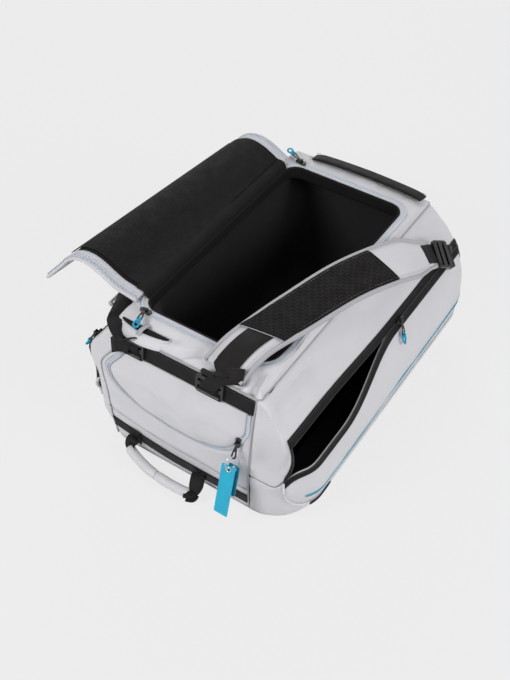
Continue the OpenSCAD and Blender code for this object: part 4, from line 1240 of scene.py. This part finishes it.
def build_dividers():
    for side in LABEL:
        def at(y, z):
            q = Vector((124 * side, y, z))
            return q + Vector((0.9 * ripple(q, 70, 61 + side), 0, 0))
        name = LABEL[side] + "_divider"
        panel(name + "_cloth", grid(steps(9, 250, 14), steps(-249, 255, 24), at), [LINING], (side, 0, 0),
              middle=True, nodes=(name,), padded=0.4)


def build_base():
    def plan(z, inset):
        half = [skin(0, s, -inset) for s in stations()]
        return [Vector((p.x, p.y, z)) for p in half + [sided(p, LEFT) for p in reversed(half)]]
    rows = [[p * k for p in plan(0.4, 6)] for k in (0.12, 0.35, 0.6, 0.85)]
    for p in sum(rows, []):
        p.z = 0.5 + 0.3 * ripple(p, 50, 63)
    rows += [plan(0.2, 4), plan(0.9, 0.8), plan(2.6, -0.6), plan(4.6, 0.6)]
    panel("base_cloth", rows, [BASE_CLOTH, LINING], -UP, thick=2.5, closed=True, centre="first",
          nodes=("base_panel",))
    tube("base_piping", plan(5.2, 0.4), 1.8, BINDING, closed=True)


def build_seams():
    """Seams between the end panels and the sides, as tubes whose darker grey is painted shade along the seams, with a
    line of stitches beside the far ones.
    """
    levels = steps(8, DECK_Z - 1, 40)
    for side in LABEL:
        line = [near_point(side * end_half(z), z, 0.2) for z in levels]
        tube("near_%s_seam" % LABEL[side], line, SEAM_R, SEAM_SHADE_CLOTH)
    runs = []
    for side in LABEL:
        line = [Vector((side * end_half(z), far_y(z) + 0.2, z)) for z in levels]
        tube("far_%s_seam" % LABEL[side], line, SEAM_R, SEAM_SHADE_CLOTH)
        runs.append(([Vector((side * (end_half(z) - 5), far_y(z) + 0.3, z)) for z in levels], -NEARWARD))
    beads("far_seam_stitches", runs)


# Lid flap pieces

# How far past the fold the net pocket ends
HEM_OVER = 22


def on_flap(xy, h):
    return [flap_point(x, y, h) for x, y in xy]


def flap_run(xy, h, way=1):
    """Line on the flap and its ups, which look to the lining's side, or to the outside where way is -1."""
    return on_flap(xy, h), [(flap_point(x, y, -1) - flap_point(x, y, 0)).normalized() * way for x, y in xy]


def build_flap():
    def pad(x, y, gap):
        return ease(gap / 30) * rumple((x, y, 0), FLAP_FOLDS)

    def sag(x, y, gap):
        return -ease(gap / 20) * (0.5 + 0.6 * ripple((x, y, 0), 60, 71) + 0.5 * crease((x, y, 0), 80, 73))

    def hem_x(y):
        return fold_x(y) + HEM_OVER

    panel("flap_shell_cloth", flap_grid(0, FLAP_X0, 0, 30, pad), [FLAP_SHELL], -UP, thick=4.6, middle=True,
          body=FLAP, nodes=("flap_inner_shell", "flap_outer_shell"), padded=0.4)
    panel("flap_lining_cloth", flap_grid(19, FLAP_X0, -3.0, 28, sag), [LINING], UP, thick=0.8, body=FLAP,
          nodes=("flap_inner_lining", "flap_outer_lining"),
          sheet=dict(flat=(0.213, 0.387), held="stretched", rests_on=["flap_shell_cloth"]))
    panel("flap_pocket_net", flap_grid(26, 12, -5.4, 20, sag, hem_x), [NET], UP, thick=0.6, body=FLAP,
          nodes=("flap_mesh_pocket",),
          sheet=dict(flat=(0.121, 0.373), held="stretched", rests_on=["flap_lining_cloth"]))
    hem = [(hem_x(y), y) for y in steps(FLAP_Y0 + 26, FLAP_Y1 - 26, 40)]
    sweep("flap_pocket_hem", *flap_run(hem, -6.4), flat_profile(9, 1.2, 0.4), TAPE_BLACK, body=FLAP,
          slot="lining_fabric")
    rails = [on_flap(flap_outline(g), h) for g, h in ((2.5, -2.9), (8, -3.6), (15, -3.6), (20.5, -3.3))]
    panel("flap_zip_cloth", rails, [TAPE_PALE], UP, thick=1.0, body=FLAP,
          nodes=("flap_inner_zip_tape", "flap_outer_zip_tape"))
    beads("flap_zip_teeth", [flap_run(flap_outline(4.5), -3.4)], COIL_PALE, FLAP_TOOTH, TEETH_PITCH,
          body=FLAP)
    beads("flap_stitches", [flap_run(flap_outline(g), -3.6) for g in (10, 18)], THREAD, ZIP_STITCH,
          ZIP_STITCH_PITCH, body=FLAP, slot="pale_zip")
    tube("flap_piping", on_flap(flap_outline(0.5), 0.6), 2.4, FLAP_SHELL, body=FLAP)
    beads("flap_outer_stitches", [flap_run(flap_outline(11), 2.4, -1)], body=FLAP)


def build_flap_hinge():
    ys = steps(-OPEN_NEAR + 14, OPEN_FAR - 14, 40)
    roll = ((-108.6, 270), (-109.6, 282), (-111.5, 290), (-116, 296.0), (-121, 297.6), (-128, 298.6),
            (-134, 299.0))
    rows = [[Vector((x, y, z + 0.6 * ripple((x, y, z), 30, 79))) for y in ys] for x, z in roll]
    panel("flap_hinge_lining", rows, [LINING], (0.5, 0, 1), thick=1.4,
          body=("root", "flap_inner", Vector((-110, 0, 288)), Vector((-124, 0, 296))),
          nodes=("flap_hinge_binding",))
    seat = ((-130, 285.4), (-126, 285.8), (-123, 286.6), (-120.5, 288.4))
    panel("flap_hinge_seam", [[Vector((x, y, z)) for y in ys] for x, z in seat], [SHELL], UP, thick=1.2,
          body=("root", "flap_inner", Vector((-127, 0, 285.8)), Vector((-120.5, 0, 288.4))))


# Webbing, handles, straps

def build_bands():
    for name, z0, z1, climb in (("near_band", BAND_LOW, BAND_HIGH, 0),
                                ("low_band", LOW_BAND_LOW, LOW_BAND_HIGH, 1)):
        def at(u, z):
            x = u * end_half(z)
            return near_point(x, z + climb * near_rise(x), 2.6)
        panel(name + "_webbing", grid(steps(z0, z1, 4), steps(-0.995, 0.995, 40), at), [WEBBING], NEARWARD,
              thick=1.8, nodes=(name,))
        runs = [(line, NEARWARD) for line in grid((z0 + 2.5, z1 - 2.5), steps(-0.98, 0.98, 40), at)]
        beads(name + "_stitches", runs, THREAD_BLACK)


def build_far_handle():
    y, z, rise, x0, x1 = far_y(DECK_Z) - 15, DECK_Z + 13, 3, -88, 124
    path = spline([(x0, y, z), (x0 + 26, y + 2, z + rise), (mix(x0, x1, 0.5), y + 3, z + rise + 2),
                   (x1 - 26, y + 2, z + rise), (x1, y, z)], 12)
    up = Vector((0, 0.25, 1)).normalized()

    def swell(t):
        return (1, 1 + 0.7 * ease(min(t, 1 - t) / 0.2))
    sweep("far_handle_webbing", [p + up * 2 for p in path], up, oval(24, 4, 16, 0.5), WEBBING, 1, swell,
          nodes=("far_handle",), padded=0.5)
    runs = [([p + Vector((0, across, 0)) + up * 4.6 for p in end], up)
            for end in (path[:6], path[-6:]) for across in (-8, 8)]
    beads("far_handle_stitches", runs, THREAD_BLACK, pitch=4.2)


# Haul handle: where its arms are sewn on, then points along the grip, the arms and the bunched folds
HAUL_Z = 32
HAUL_Y = near_y(HAUL_Z) - 4.96
HAUL_GRIP = [(-104, -288, 25.5), (-84, -296, 23.5), (-52, -304, 21), (-20, -307, 20), (10, -307, 20),
             (29, -305, 20.5)]
HAUL_LEFT_ARM = [(-102, HAUL_Y + 1, HAUL_Z + 4), (-104, HAUL_Y - 5, HAUL_Z + 3),
                 (-105, HAUL_Y - 10, HAUL_Z - 2), (-100, -288.5, 27), (-88, -294.5, 25)]
HAUL_RIGHT_ARM = [(26, HAUL_Y + 1, HAUL_Z + 3), (29, HAUL_Y - 8, HAUL_Z + 1), (33, HAUL_Y - 18, HAUL_Z - 4),
                  (34, -300, 23), (30, -306, 20.4), (18, -307, 20)]
HAUL_FOLDS = (((36, -303, 24), (33, -309, 25), (24, -312.5, 23)),
              ((38, -300, 18), (37, -307, 15), (27, -311.5, 15)))


def build_haul_grip():
    path = spline(HAUL_GRIP, 8)

    def tack(t):
        pinch = 1 - 0.2 * math.exp(-((t - 0.5) / 0.025) ** 2)
        k = pinch * (0.72 + 0.28 * ease(min(t, 1 - t) / 0.06))
        return (k, k)
    sweep("haul_grip_cloth", path, Vector((0, 0.2, 1)).normalized(), oval(17, 15, 16, 0.9), SHELL, 1, tack,
          body="haul_handle", nodes=("haul_grip",), padded=0.8)
    seam = [p + Vector((0, 7.6, 2.6)) for p in path[2:-2]]
    beads("haul_grip_stitches", [(seam, Vector((0, 0.9, 0.4)).normalized())], size=BOLD_STITCH, pitch=4.4,
          body="haul_handle")
    ring = [path[len(path) // 2] + Vector((0, 7.2 * c, 6.4 * s)) for c, s in circle(24)]
    tube("haul_grip_tack", ring, 0.9, THREAD, closed=True, step=2.2, body="haul_handle")


def haul_fold(k):
    """Lobe of webbing bunched at the right end of the grip."""
    line = spline(HAUL_FOLDS[k], 6)
    sweep("haul_right_fold_%d" % k, line, carried(line, (0, -0.4, 1)), oval(13, 4.5, 12, 0.7), WEBBING,
          body="haul_handle")


def build_haul_arm(word, x, points, patch_top, folds, nodes):
    def gather(t):
        k = ease((t - 0.35) / 0.5)
        return (1 - 0.5 * k, 1 + 0.8 * k)

    def on_patch(dx, z):
        return Vector((x + dx, near_y(z) - 4.6, z))
    arm = spline(points, 6)
    turn = ("root", "haul_handle", Vector((x, HAUL_Y + 1, HAUL_Z)), Vector((x, HAUL_Y - 9, HAUL_Z)))
    sweep("haul_%s_webbing" % word, arm, carried(arm, (0, -0.2, 1)), flat_profile(24, 3.0), WEBBING,
          scale=gather, body=turn, nodes=nodes)
    for k in folds:
        haul_fold(k)
    patch = [[on_patch(dx, z) for z in steps(LOW_BAND_LOW + 2, patch_top, 6)] for dx in steps(-12, 12, 4)]
    panel("haul_%s_patch" % word, patch, [WEBBING], NEARWARD, thick=1.6)
    low, high = LOW_BAND_LOW + 4, LOW_BAND_HIGH - 4
    runs = [([on_patch(-9, a), on_patch(9, b)], NEARWARD) for a, b in ((low, high), (high, low))]
    beads("haul_%s_stitches" % word, runs, THREAD_BLACK, FINE_STITCH, 3.8)


def build_haul_handle():
    build_haul_grip()
    build_haul_arm("left", -102, HAUL_LEFT_ARM, LOW_BAND_HIGH + 14, (), ("haul_webbing",))
    build_haul_arm("right", 26, HAUL_RIGHT_ARM, LOW_BAND_HIGH - 2, (0, 1), ())


def beside(z, out):
    return side_w(z) + out


# Shoulder straps: points along the middle of the pad, and the way its upper face looks at each
DECK_NEAR = near_y(DECK_Z)
RIGHT_POINTS = [(65, DECK_NEAR + 3, 284), (75, -200, 300), (101, -106, 303), (125, -22, 303), (148, 40, 298),
                (168, 94, 286), (beside(248, 37), 158, 258)]
RIGHT_LOOKS = [(0, -0.5, 1), (0, -0.05, 1), (0.05, 0, 1), (0.15, 0, 1), (0.25, 0.05, 1), (0.4, 0.15, 1),
               (0.75, 0.2, 0.9)]
LEFT_POINTS = [(beside(250, 9), -190, 262), (beside(250, 21), -150, 249), (beside(250, 22), -60, 247),
               (beside(250, 22), 60, 247), (beside(250, 22), 140, 246), (beside(223, 14), 196, 232)]
LEFT_LOOKS = [(0.62, 0, 0.78), (0.68, 0, 0.73), (0.7, 0, 0.72), (0.7, 0, 0.72), (0.72, 0, 0.7),
              (0.9, 0.2, 0.75)]
STRAP_N = 12

# Near ladder locks: place and lean, the bends and tails of their webbing, and its way through, as up and out
LOCK_Z = 253
LOCK_X = {"right": 50, "left": -92}
LOCK_LEAN = math.atan(2 * NEAR_LEAN * (LOCK_Z - END_Z) / (DECK_Z - END_Z) ** 2)
LOCK_UP = Vector((0, math.sin(LOCK_LEAN), math.cos(LOCK_LEAN)))
LOCK_OUT = Vector((0, -math.cos(LOCK_LEAN), math.sin(LOCK_LEAN)))
LOCK_Y = near_y(LOCK_Z) - 2.8 / math.cos(LOCK_LEAN)
LEAD_BENDS = {"right": [(52, DECK_NEAR - 7, 279), (60, DECK_NEAR - 5, 288)],
              "left": [(-102, DECK_NEAR - 13, 271), (-126, DECK_NEAR + 8, 278)]}
TAILS = {"right": [(8, -3, 17), (22, 1, 32), (38, 7, 38.5), (50, 12, 38)],
         "left": [(-12, -5, 2), (-24, -8, -2), (-34, -8, -10)]}
LACING = ((-9.0, -0.8), (-6.4, 2.4), (-3.4, 5.2), (0.5, 5.6), (3.6, 4.8), (6.2, 1.8), (9.0, -0.2), (13, -0.4),
          (18, 1.8))
LOCK_LOOP = ((-20.5, -0.6), (-17, 2.4), (-12.5, 5.4), (-8.2, 3.6), (-7.2, -0.6))

# Far webbing: where it is sewn to the side, the way it leaves each pad, and how far it runs straight
HOLD_Z = 190
HOLD_LOOK = Vector((math.cos(side_slope(HOLD_Z)), 0, math.sin(side_slope(HOLD_Z))))
HOLD = Vector((side_w(HOLD_Z), far_y(DECK_Z) - 24, HOLD_Z)) + HOLD_LOOK * 3.8
RIGHT_RUN = Vector((0.45, 0.8, -0.4)).normalized()
LEFT_RUN = (HOLD - Vector(LEFT_POINTS[-1])).normalized()
FAR_REACH = 40


class Strap:
    """Curve of one shoulder strap, with a way to find points on its faces."""

    def __init__(self, side, points, looks, run):
        self.label = LABEL[side]
        self.path = [sided(p, side) for p in spline(points, STRAP_N)]
        self.ups = [sided(v.normalized(), side) for v in spline(looks, STRAP_N)]
        self.run, self.hold, self.hold_look = [sided(v, side) for v in (run, HOLD, HOLD_LOOK)]
        self.frames = frames(self.path, self.ups)
        self.lengths = lengths_of(self.path)
        self.total = self.lengths[-1]

    def half(self, at):
        """Half width of the pad: it narrows toward the far end."""
        left = self.total - at
        return PAD_W / 2 * (0.6 + 0.4 * ease(left / 75)) * (0.92 + 0.08 * ease((at - 60) / 90))

    def spot(self, at, across, up):
        """Point at a distance along the strap, across it and over its middle."""
        i, t = locate(self.lengths, min(self.total, max(0.0, at)))
        p, _, a, n = [a.lerp(b, t) for a, b in zip(self.frames[i], self.frames[i + 1])]
        return p + a.normalized() * across + n.normalized() * up

    def face(self, at, across, lift):
        """Point over the pad's upper face."""
        return self.spot(at, across, crown(across, self.half(at)) + lift)

    def up(self, at):
        return (self.spot(at, 0, 1) - self.spot(at, 0, 0)).normalized()


def crown(across, half):
    """Height of a pad's face over its middle plane."""
    k = min(1, abs(across) / half)
    return PAD_T / 2 * (1 - 0.42 * k ** 4)


def build_pad(strap):
    rows = []
    for at in steps(0, strap.total, 64):
        half = strap.half(at) - 3
        end = ease(min(at, strap.total - at) / 8)
        thin = (0.7 + 0.3 * end) * (0.55 + 0.45 * ease(at / 40))
        row = []
        for c, s in oval(2, 2, 28, 0.45, 0.75):
            x = c * half * (0.93 + 0.07 * end)
            puff = 0.5 * ripple((at, x, 0), 34, 83) if s > 0 else 0
            row.append(strap.spot(at, x, s * (crown(x, half) + puff * (1 - c * c)) * thin))
        rows.append(row)
    name = strap.label + "_strap"
    pad = grid_object(name + "_cloth", rows, [SHELL], caps=True)
    place(smoothed(pad, 1), nodes=(name + "_pad",), padded=0.7)
    ats = steps(1, strap.total - 1, 90)
    ups = [strap.up(at) for at in ats]
    for word, way in (("inner", -1), ("outer", 1)):
        line = [strap.spot(at, way * (strap.half(at) - 2.6), 0.4) for at in ats]
        sweep("%s_%s_binding" % (name, word), line, ups, oval(6.0, 8.6, 12, 0.8), BINDING)
    end = strap.total - 1
    half = strap.half(end) - 2.6
    tube(name + "_end_binding", [strap.spot(end, x, 0.4) for x in steps(-half, half, 12)], 3.6, BINDING)


def strip_on(name, strap, a, b, width, lift, material, slant=(0.0, 0.0), n=40, rise=0.0, **where):
    """Strip on a strap's face between two distances; slant skews its ends, rise lifts its start."""
    def at(t, x):
        along_strap = mix(a, b, t) + mix(slant[0], slant[1], t) * x / width
        return strap.face(along_strap, x, lift + rise * (1 - ease(t / 0.12)))
    panel(name, grid(steps(-width / 2, width / 2, 6), steps(0, 1, n), at), [material], strap.up((a + b) / 2),
          thick=1.6, **where)


def strap_lead(strap, reach):
    """Webbing laced through a near ladder lock, over the edge of the deck and on along the pad."""
    n, start = 4, 8
    base = Vector((LOCK_X[strap.label], LOCK_Y, LOCK_Z))
    laced = [base + LOCK_UP * u + LOCK_OUT * v for u, v in LACING]
    bends = LEAD_BENDS[strap.label]
    landing = [strap.spot(at, 0, PAD_T / 2 + 1.2 - 1.6 * ease((at - reach + 12) / 10))
               for at in steps(start, reach, 10)]
    path = spline(laced + bends + landing, n)
    lead = n * (len(laced) + len(bends))
    ups = []
    for i, up in enumerate(carried(path, LOCK_UP)):
        want = strap.up(mix(start, reach, max(0, i - lead) / max(1, len(path) - 1 - lead)))
        ups.append(up.lerp(want, ease((i - n * len(laced)) / (n * len(bends)))).normalized())
    sweep(strap.label + "_strap_lead", path, ups, flat_profile(WEB_W, 1.7), WEBBING,
          scale=lambda t: (0.8 + 0.2 * ease((t - 0.35) / 0.25), 1),
          nodes=(strap.label + "_strap_webbing",))


def lock_dress(label):
    """Webbing that holds a near ladder lock to the band, and the loose tail."""
    base = Vector((LOCK_X[label], LOCK_Y, LOCK_Z))
    hold = spline([base + LOCK_UP * u + LOCK_OUT * v for u, v in LOCK_LOOP], 4)
    sweep(label + "_lock_loop", hold, carried(hold, LOCK_OUT), flat_profile(WEB_W - 2, 1.6), WEBBING)
    tail = spline([base + LOCK_OUT * 6.6 + LOCK_UP * 2] + [base + Vector(p) for p in TAILS[label]], 8)
    look = Vector((math.copysign(0.1, LOCK_X[label]), -0.75, 0.65)).normalized()
    sweep(label + "_strap_tail", tail, look, flat_profile(24, 1.6), WEBBING)


def strap_far(strap):
    """Webbing that runs on from the pad's far end through the far lock and down to the side of the bag."""
    name, run, hold, total = strap.label + "_strap", strap.run, strap.hold, strap.total
    start, look = strap.path[-1], strap.ups[-1]
    face = (look - run * look.dot(run)).normalized()
    over = start + run * (FAR_REACH + 6)
    path = [start + run, start + run * FAR_REACH / 2, start + run * FAR_REACH, over,
            over.lerp(hold, 0.3), over.lerp(hold, 0.65), hold]
    ups = [face.lerp(strap.hold_look, t).normalized() for t in (0, 0, 0, 0.25, 0.6, 0.85, 1.0)]
    sweep(name + "_anchor_webbing", path, ups, flat_profile(WEB_W, 1.8), WEBBING,
          nodes=(name + "_anchor",))
    strip_on(name + "_end_webbing", strap, total - 24, total, WEB_W - 4, 1.2, WEBBING, n=8)
    runs = [([strap.face(at, x, 1.4) for x in steps(-14, 14, 4)], strap.up(at))
            for at in (total - 21, total - 16)]
    beads(name + "_end_stitches", runs, THREAD_BLACK, FINE_STITCH, 3.6)


def strap_stitches(strap):
    ats = steps(4, strap.total - 6, 80)
    ups = [strap.up(at) for at in ats]
    runs = [([strap.face(at, way * (strap.half(at) - 9), 0.1) for at in ats], ups) for way in (-1, 1)]
    beads(strap.label + "_strap_stitches", runs)


def build_straps():
    right = Strap(RIGHT, RIGHT_POINTS, RIGHT_LOOKS, RIGHT_RUN)
    left = Strap(LEFT, LEFT_POINTS, LEFT_LOOKS, LEFT_RUN)
    build_pad(right)
    build_pad(left)
    mesh_a, mesh_b = [right.lengths[int(k * STRAP_N)] for k in (1.3, 4.25)]
    mesh_w, slant = PAD_W - 9, 26
    strip_on("right_strap_mesh_cloth", right, mesh_a, mesh_b, mesh_w, 0.9, MESH, (slant, 14), 60, 1.8,
             nodes=("right_strap_mesh",))
    edge = [right.face(mesh_a + slant * x / mesh_w, x, 2.7) for x in steps(-mesh_w / 2, mesh_w / 2, 12)]
    tube("right_strap_mesh_edge", edge, 0.6, BINDING, step=4)
    strap_lead(right, mesh_a + 12)
    strap_lead(left, left.lengths[STRAP_N // 2])
    lock_dress("right")
    lock_dress("left")
    for finish in (strap_far, strap_stitches):
        finish(right)
        finish(left)


# Zip pullers and tags

def turned(rx, ry, rz):
    return Euler((math.radians(rx), math.radians(ry), math.radians(rz)), "XYZ").to_matrix().to_4x4()


def puller_frame(at, turn, spin):
    return (Matrix.Translation(Vector(at)) @ turned(*turn) @ Matrix.Translation((0, 0, PIN_Z))
            @ turned(0, 0, spin))


# Pin of the shoe slider, how its puller hangs in degrees, and the split ring and the lean of its tags
SHOE_Z = DOOR_LOW + DOOR_CURVE - 30
SHOE_LEAN = math.atan((near_y(SHOE_Z + 19) - near_y(SHOE_Z + 11)) / 8)
SHOE_OUT = Vector((0, -math.cos(SHOE_LEAN), math.sin(SHOE_LEAN)))
SHOE_PIN = Vector((104, near_y(SHOE_Z), SHOE_Z)) + SHOE_OUT * (2.6 + PIN_Z)
SHOE_HANG = 24
TAG_LEAN = math.radians(16)
RING_R = 11.2
RING_TOP = SHOE_PIN - Vector((0, math.sin(math.radians(SHOE_HANG)), math.cos(math.radians(SHOE_HANG)))) * 22.2


def build_puller(word, matrix, loop=True):
    """Eye on the slider's pin and slotted tab, drawn along x from the pin, and a cord loop in the slot."""
    def at(x, y, z):
        return matrix @ Vector((x, y, z))

    body = word + "_puller"
    half = PULL_W / 2
    end = PULL_L - half
    hole, eye, wide = 1.176, 2.1, 1.9
    section = ((hole, -wide), (eye, -wide), (eye, wide), (hole, wide))
    rows = [[at(r * c, y, r * s) for c, s in circle(16)] for r, y in section]
    place(grid_object(word + "_pull_eye", rows, [PLASTIC], looped=True), body, nodes=(body,))
    flank = [(1.6, -1.9), (6, -2.4), (12, -3.6)]
    outline = flank + [(end + half * math.cos(a), half * math.sin(a)) for a in steps(-QUARTER, QUARTER, 10)]
    outline += [(x, -y) for x, y in reversed(flank)]
    slot = []
    for x, y in outline:
        a = math.atan2(y, x - end + 3)
        slot.append((end - 3 + 5.0 * math.cos(a), 2.4 * math.sin(a)))
    rows = [[at(mix(x, u, k), mix(y, v, k), 0) for (x, y), (u, v) in zip(outline, slot)] for k in (0, 0.5, 1)]
    panel(word + "_pull_tab", rows, [PLASTIC], matrix.to_3x3() @ UP, thick=1.8, closed=True, middle=True,
          body=body)
    if loop:
        path = []
        for a in steps(0, 2 * math.pi, 40)[:-1]:
            k = (1 - math.cos(a)) / 2
            x, y = mix(end - 1.5, PULL_L + 13, k), 5.2 * math.sin(a) * (0.45 + 0.55 * k)
            path.append(at(x, y, 0.9 * math.sin(2 * a)))
        twisted(word + "_pull_loop", path, 1.7, PULL_TEAL, body=body)
        knot = [at(end + mix(3.6, 6.4, t), 2.4 * math.cos(9 * t), 2.2 * math.sin(9 * t))
                for t in steps(0, 1, 26)]
        tube(word + "_pull_knot", knot, 1.6, PULL_TEAL, step=1.2, body=body)


def twisted(name, path, r, material, **where):
    """Closed loop with a two-lobed section that turns along it, as laid cord is."""
    step, lay = 0.9, 6.0
    pts, _ = even(path, step, closed=True)
    n = len(pts)
    normal = (pts[n // 4] - pts[0]).cross(pts[n // 2] - pts[0]).normalized()
    turns = max(1, round(n * step / lay))
    rows = []
    for i, (p, t, a, up) in enumerate(frames(pts, normal, True)):
        phase = 2 * math.pi * turns * i / n
        row = []
        for b in steps(0, 2 * math.pi, 12)[:-1]:
            rr = r * (0.82 + 0.18 * math.cos(2 * (b - phase)))
            row.append(p + a * (rr * math.cos(b)) + up * (rr * math.sin(b)))
        rows.append(row)
    return place(grid_object(name, rows, [material], looped=True), **where)


def build_pullers():
    main_z, flat = RIM_Z + 2.0, (0, 0, 0)
    side_turn = (90 - math.degrees(side_slope(ZIP_Z)), 0, 90)
    build_puller("main_near", puller_frame((-97, -220, main_z), flat, 284))
    build_puller("main_far", puller_frame((-97, 217, main_z), flat, 155))
    build_puller("right_racket", puller_frame(skin(ZIP_Z, 2.59, 2.4), side_turn, 250))
    mirror = Matrix.Diagonal((-1, 1, 1, 1))
    build_puller("left_racket", mirror @ puller_frame(skin(ZIP_Z, 2.03, 2.4), side_turn, 262))
    hang = Matrix.Translation(SHOE_PIN) @ turned(-SHOE_HANG, 0, 0) @ turned(0, 90, 0) @ turned(90, 0, 0)
    build_puller("shoe", hang, loop=False)


def tag_eyelets():
    """Metal rings round the holes of the tags, which hang swung out from the top of the split ring."""
    spread_turn, ring_turn = math.radians(24), math.radians(38)
    swing = Matrix.Rotation(-TAG_LEAN, 3, "X")
    for name, side in (("large_tag", -1), ("small_tag", 1)):
        drop = Vector((0, 0, -RING_R * (1 + math.cos(spread_turn)) - 1.9))
        drop += side * RING_R * math.sin(spread_turn) * Vector((math.sin(ring_turn), math.cos(ring_turn), 0))
        ring = [RING_TOP + swing @ (drop + Vector((4.3 * c, 0, 4.3 * s))) for c, s in circle(24)]
        tube(name + "_eyelet", ring, 0.95, STEEL, closed=True, step=1.2, body="tags")


# Small details

def build_details():
    tab = grid(steps(50, 60, 3), steps(1.72, 2.06, 10), lambda s, z: skin(z, s, 3.4 + 0.08 * (z - 50)))
    panel("right_edge_tab", tab, [WEBBING], (1, -0.4, -0.3))
    for side in LABEL:
        for word, k, half in (("low", 0.19, 0.66), ("high", 0.235, 1.1)):
            line = [front_point(s, k + 0.16 * ((s - 2.5) / 1.1) ** 2, side, 0.55)
                    for s in steps(1.62, 3.38, 90)]
            rows = [[p + UP * h for p in line] for h in (-half, half)]
            panel("%s_pinstripe_%s" % (LABEL[side], word), rows, [ACCENT], (side, 0, 0), thick=0.5, levels=0)


# Finishes of the solids that stay

def dress_nodes():
    finishes = {"base_board": STIFFENER, "split_ring": STEEL, "large_tag": TAG, "small_tag": TAG_DARK}
    for name in frame["nodes"]:
        if "ladder_lock" in name or name.endswith("_slider"):
            finishes[name] = PLASTIC
    for name, material in finishes.items():
        mesh = frame["nodes"][name].data
        mesh.materials.clear()
        mesh.materials.append(material)


# Floor, light and background

PALE = srgb(237, 237, 237)
AIM = Vector((0, 0, 0.15))

# Name, place, size and power of each lamp
LAMPS = (("key", (-0.8, -2.1, 1.75), 1.0, 34), ("top", (0.2, 0.5, 2.6), 2.0, 2),
         ("fill", (2.2, -0.2, 1.5), 1.2, 30), ("back", (-1.6, 1.9, 1.5), 1.6, 20))


def background(owner, last, lit, flat, share):
    """Nodes that look one flat tone to the camera and in reflections, and light the bag as another."""
    n = Nodes(owner)
    n.tree.nodes.clear()
    path = n.add("ShaderNodeLightPath", {}).outputs
    seen = n.math("MAXIMUM", path["Is Camera Ray"], path["Is Glossy Ray"])
    seen = n.math("MAXIMUM", seen, path["Is Transmission Ray"])
    shaders = [n.add(kind, inputs).outputs[0] for kind, inputs in (lit, flat)]
    mixed = n.add("ShaderNodeMixShader", {0: n.math("MULTIPLY", seen, share), 1: shaders[0], 2: shaders[1]})
    n.add(last, {"Surface": mixed.outputs[0]})


def build_stage():
    bpy.ops.mesh.primitive_plane_add(size=8, location=(0, 0, -0.0006))
    floor = bpy.context.object
    floor.name = "floor"
    material = bpy.data.materials.new("floor")
    background(material, "ShaderNodeOutputMaterial",
               ("ShaderNodeBsdfDiffuse", {"Color": srgb(232, 232, 232)}),
               ("ShaderNodeEmission", {"Color": PALE}), 0.9)
    floor.data.materials.append(material)
    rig.stage(floor)


def build_world():
    world = bpy.data.worlds.new("studio")
    bpy.context.scene.world = world
    background(world, "ShaderNodeOutputWorld", ("ShaderNodeBackground", {"Color": grey(1), "Strength": 0.37}),
               ("ShaderNodeBackground", {"Color": PALE}), 1.0)


def lamp(name, at, size, power):
    data = bpy.data.lights.new(name, "AREA")
    data.shape = "DISK"
    data.size = size
    data.energy = power
    obj = bpy.data.objects.new(name, data)
    bpy.context.collection.objects.link(obj)
    obj.location = at
    obj.rotation_euler = (AIM - Vector(at)).to_track_quat("-Z", "Y").to_euler()


build_camera()
for side in LABEL:
    build_gusset(side)
    build_skirt(side)
    build_front(side)
    build_lips(side)
for build in (build_near_end, build_far_end, build_shoe_door, build_shoe_zip, build_shoe_liner, build_deck,
              build_rim, build_lining, build_dividers, build_base, build_seams, build_flap, build_flap_hinge,
              build_bands, build_far_handle, build_haul_handle, build_straps, build_pullers, tag_eyelets,
              build_details, dress_nodes, build_stage, build_world):
    build()
for name, at, size, power in LAMPS:
    lamp(name, at, size, power)
bpy.context.scene.view_settings.view_transform = "Standard"

box_low, box_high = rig.bounds()
sizes = {"cad": [list(cad_box[0]), list(cad_box[1])], "visual": [list(box_low), list(box_high)]}
with open("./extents.json", "w") as size_file:
    json.dump(sizes, size_file)
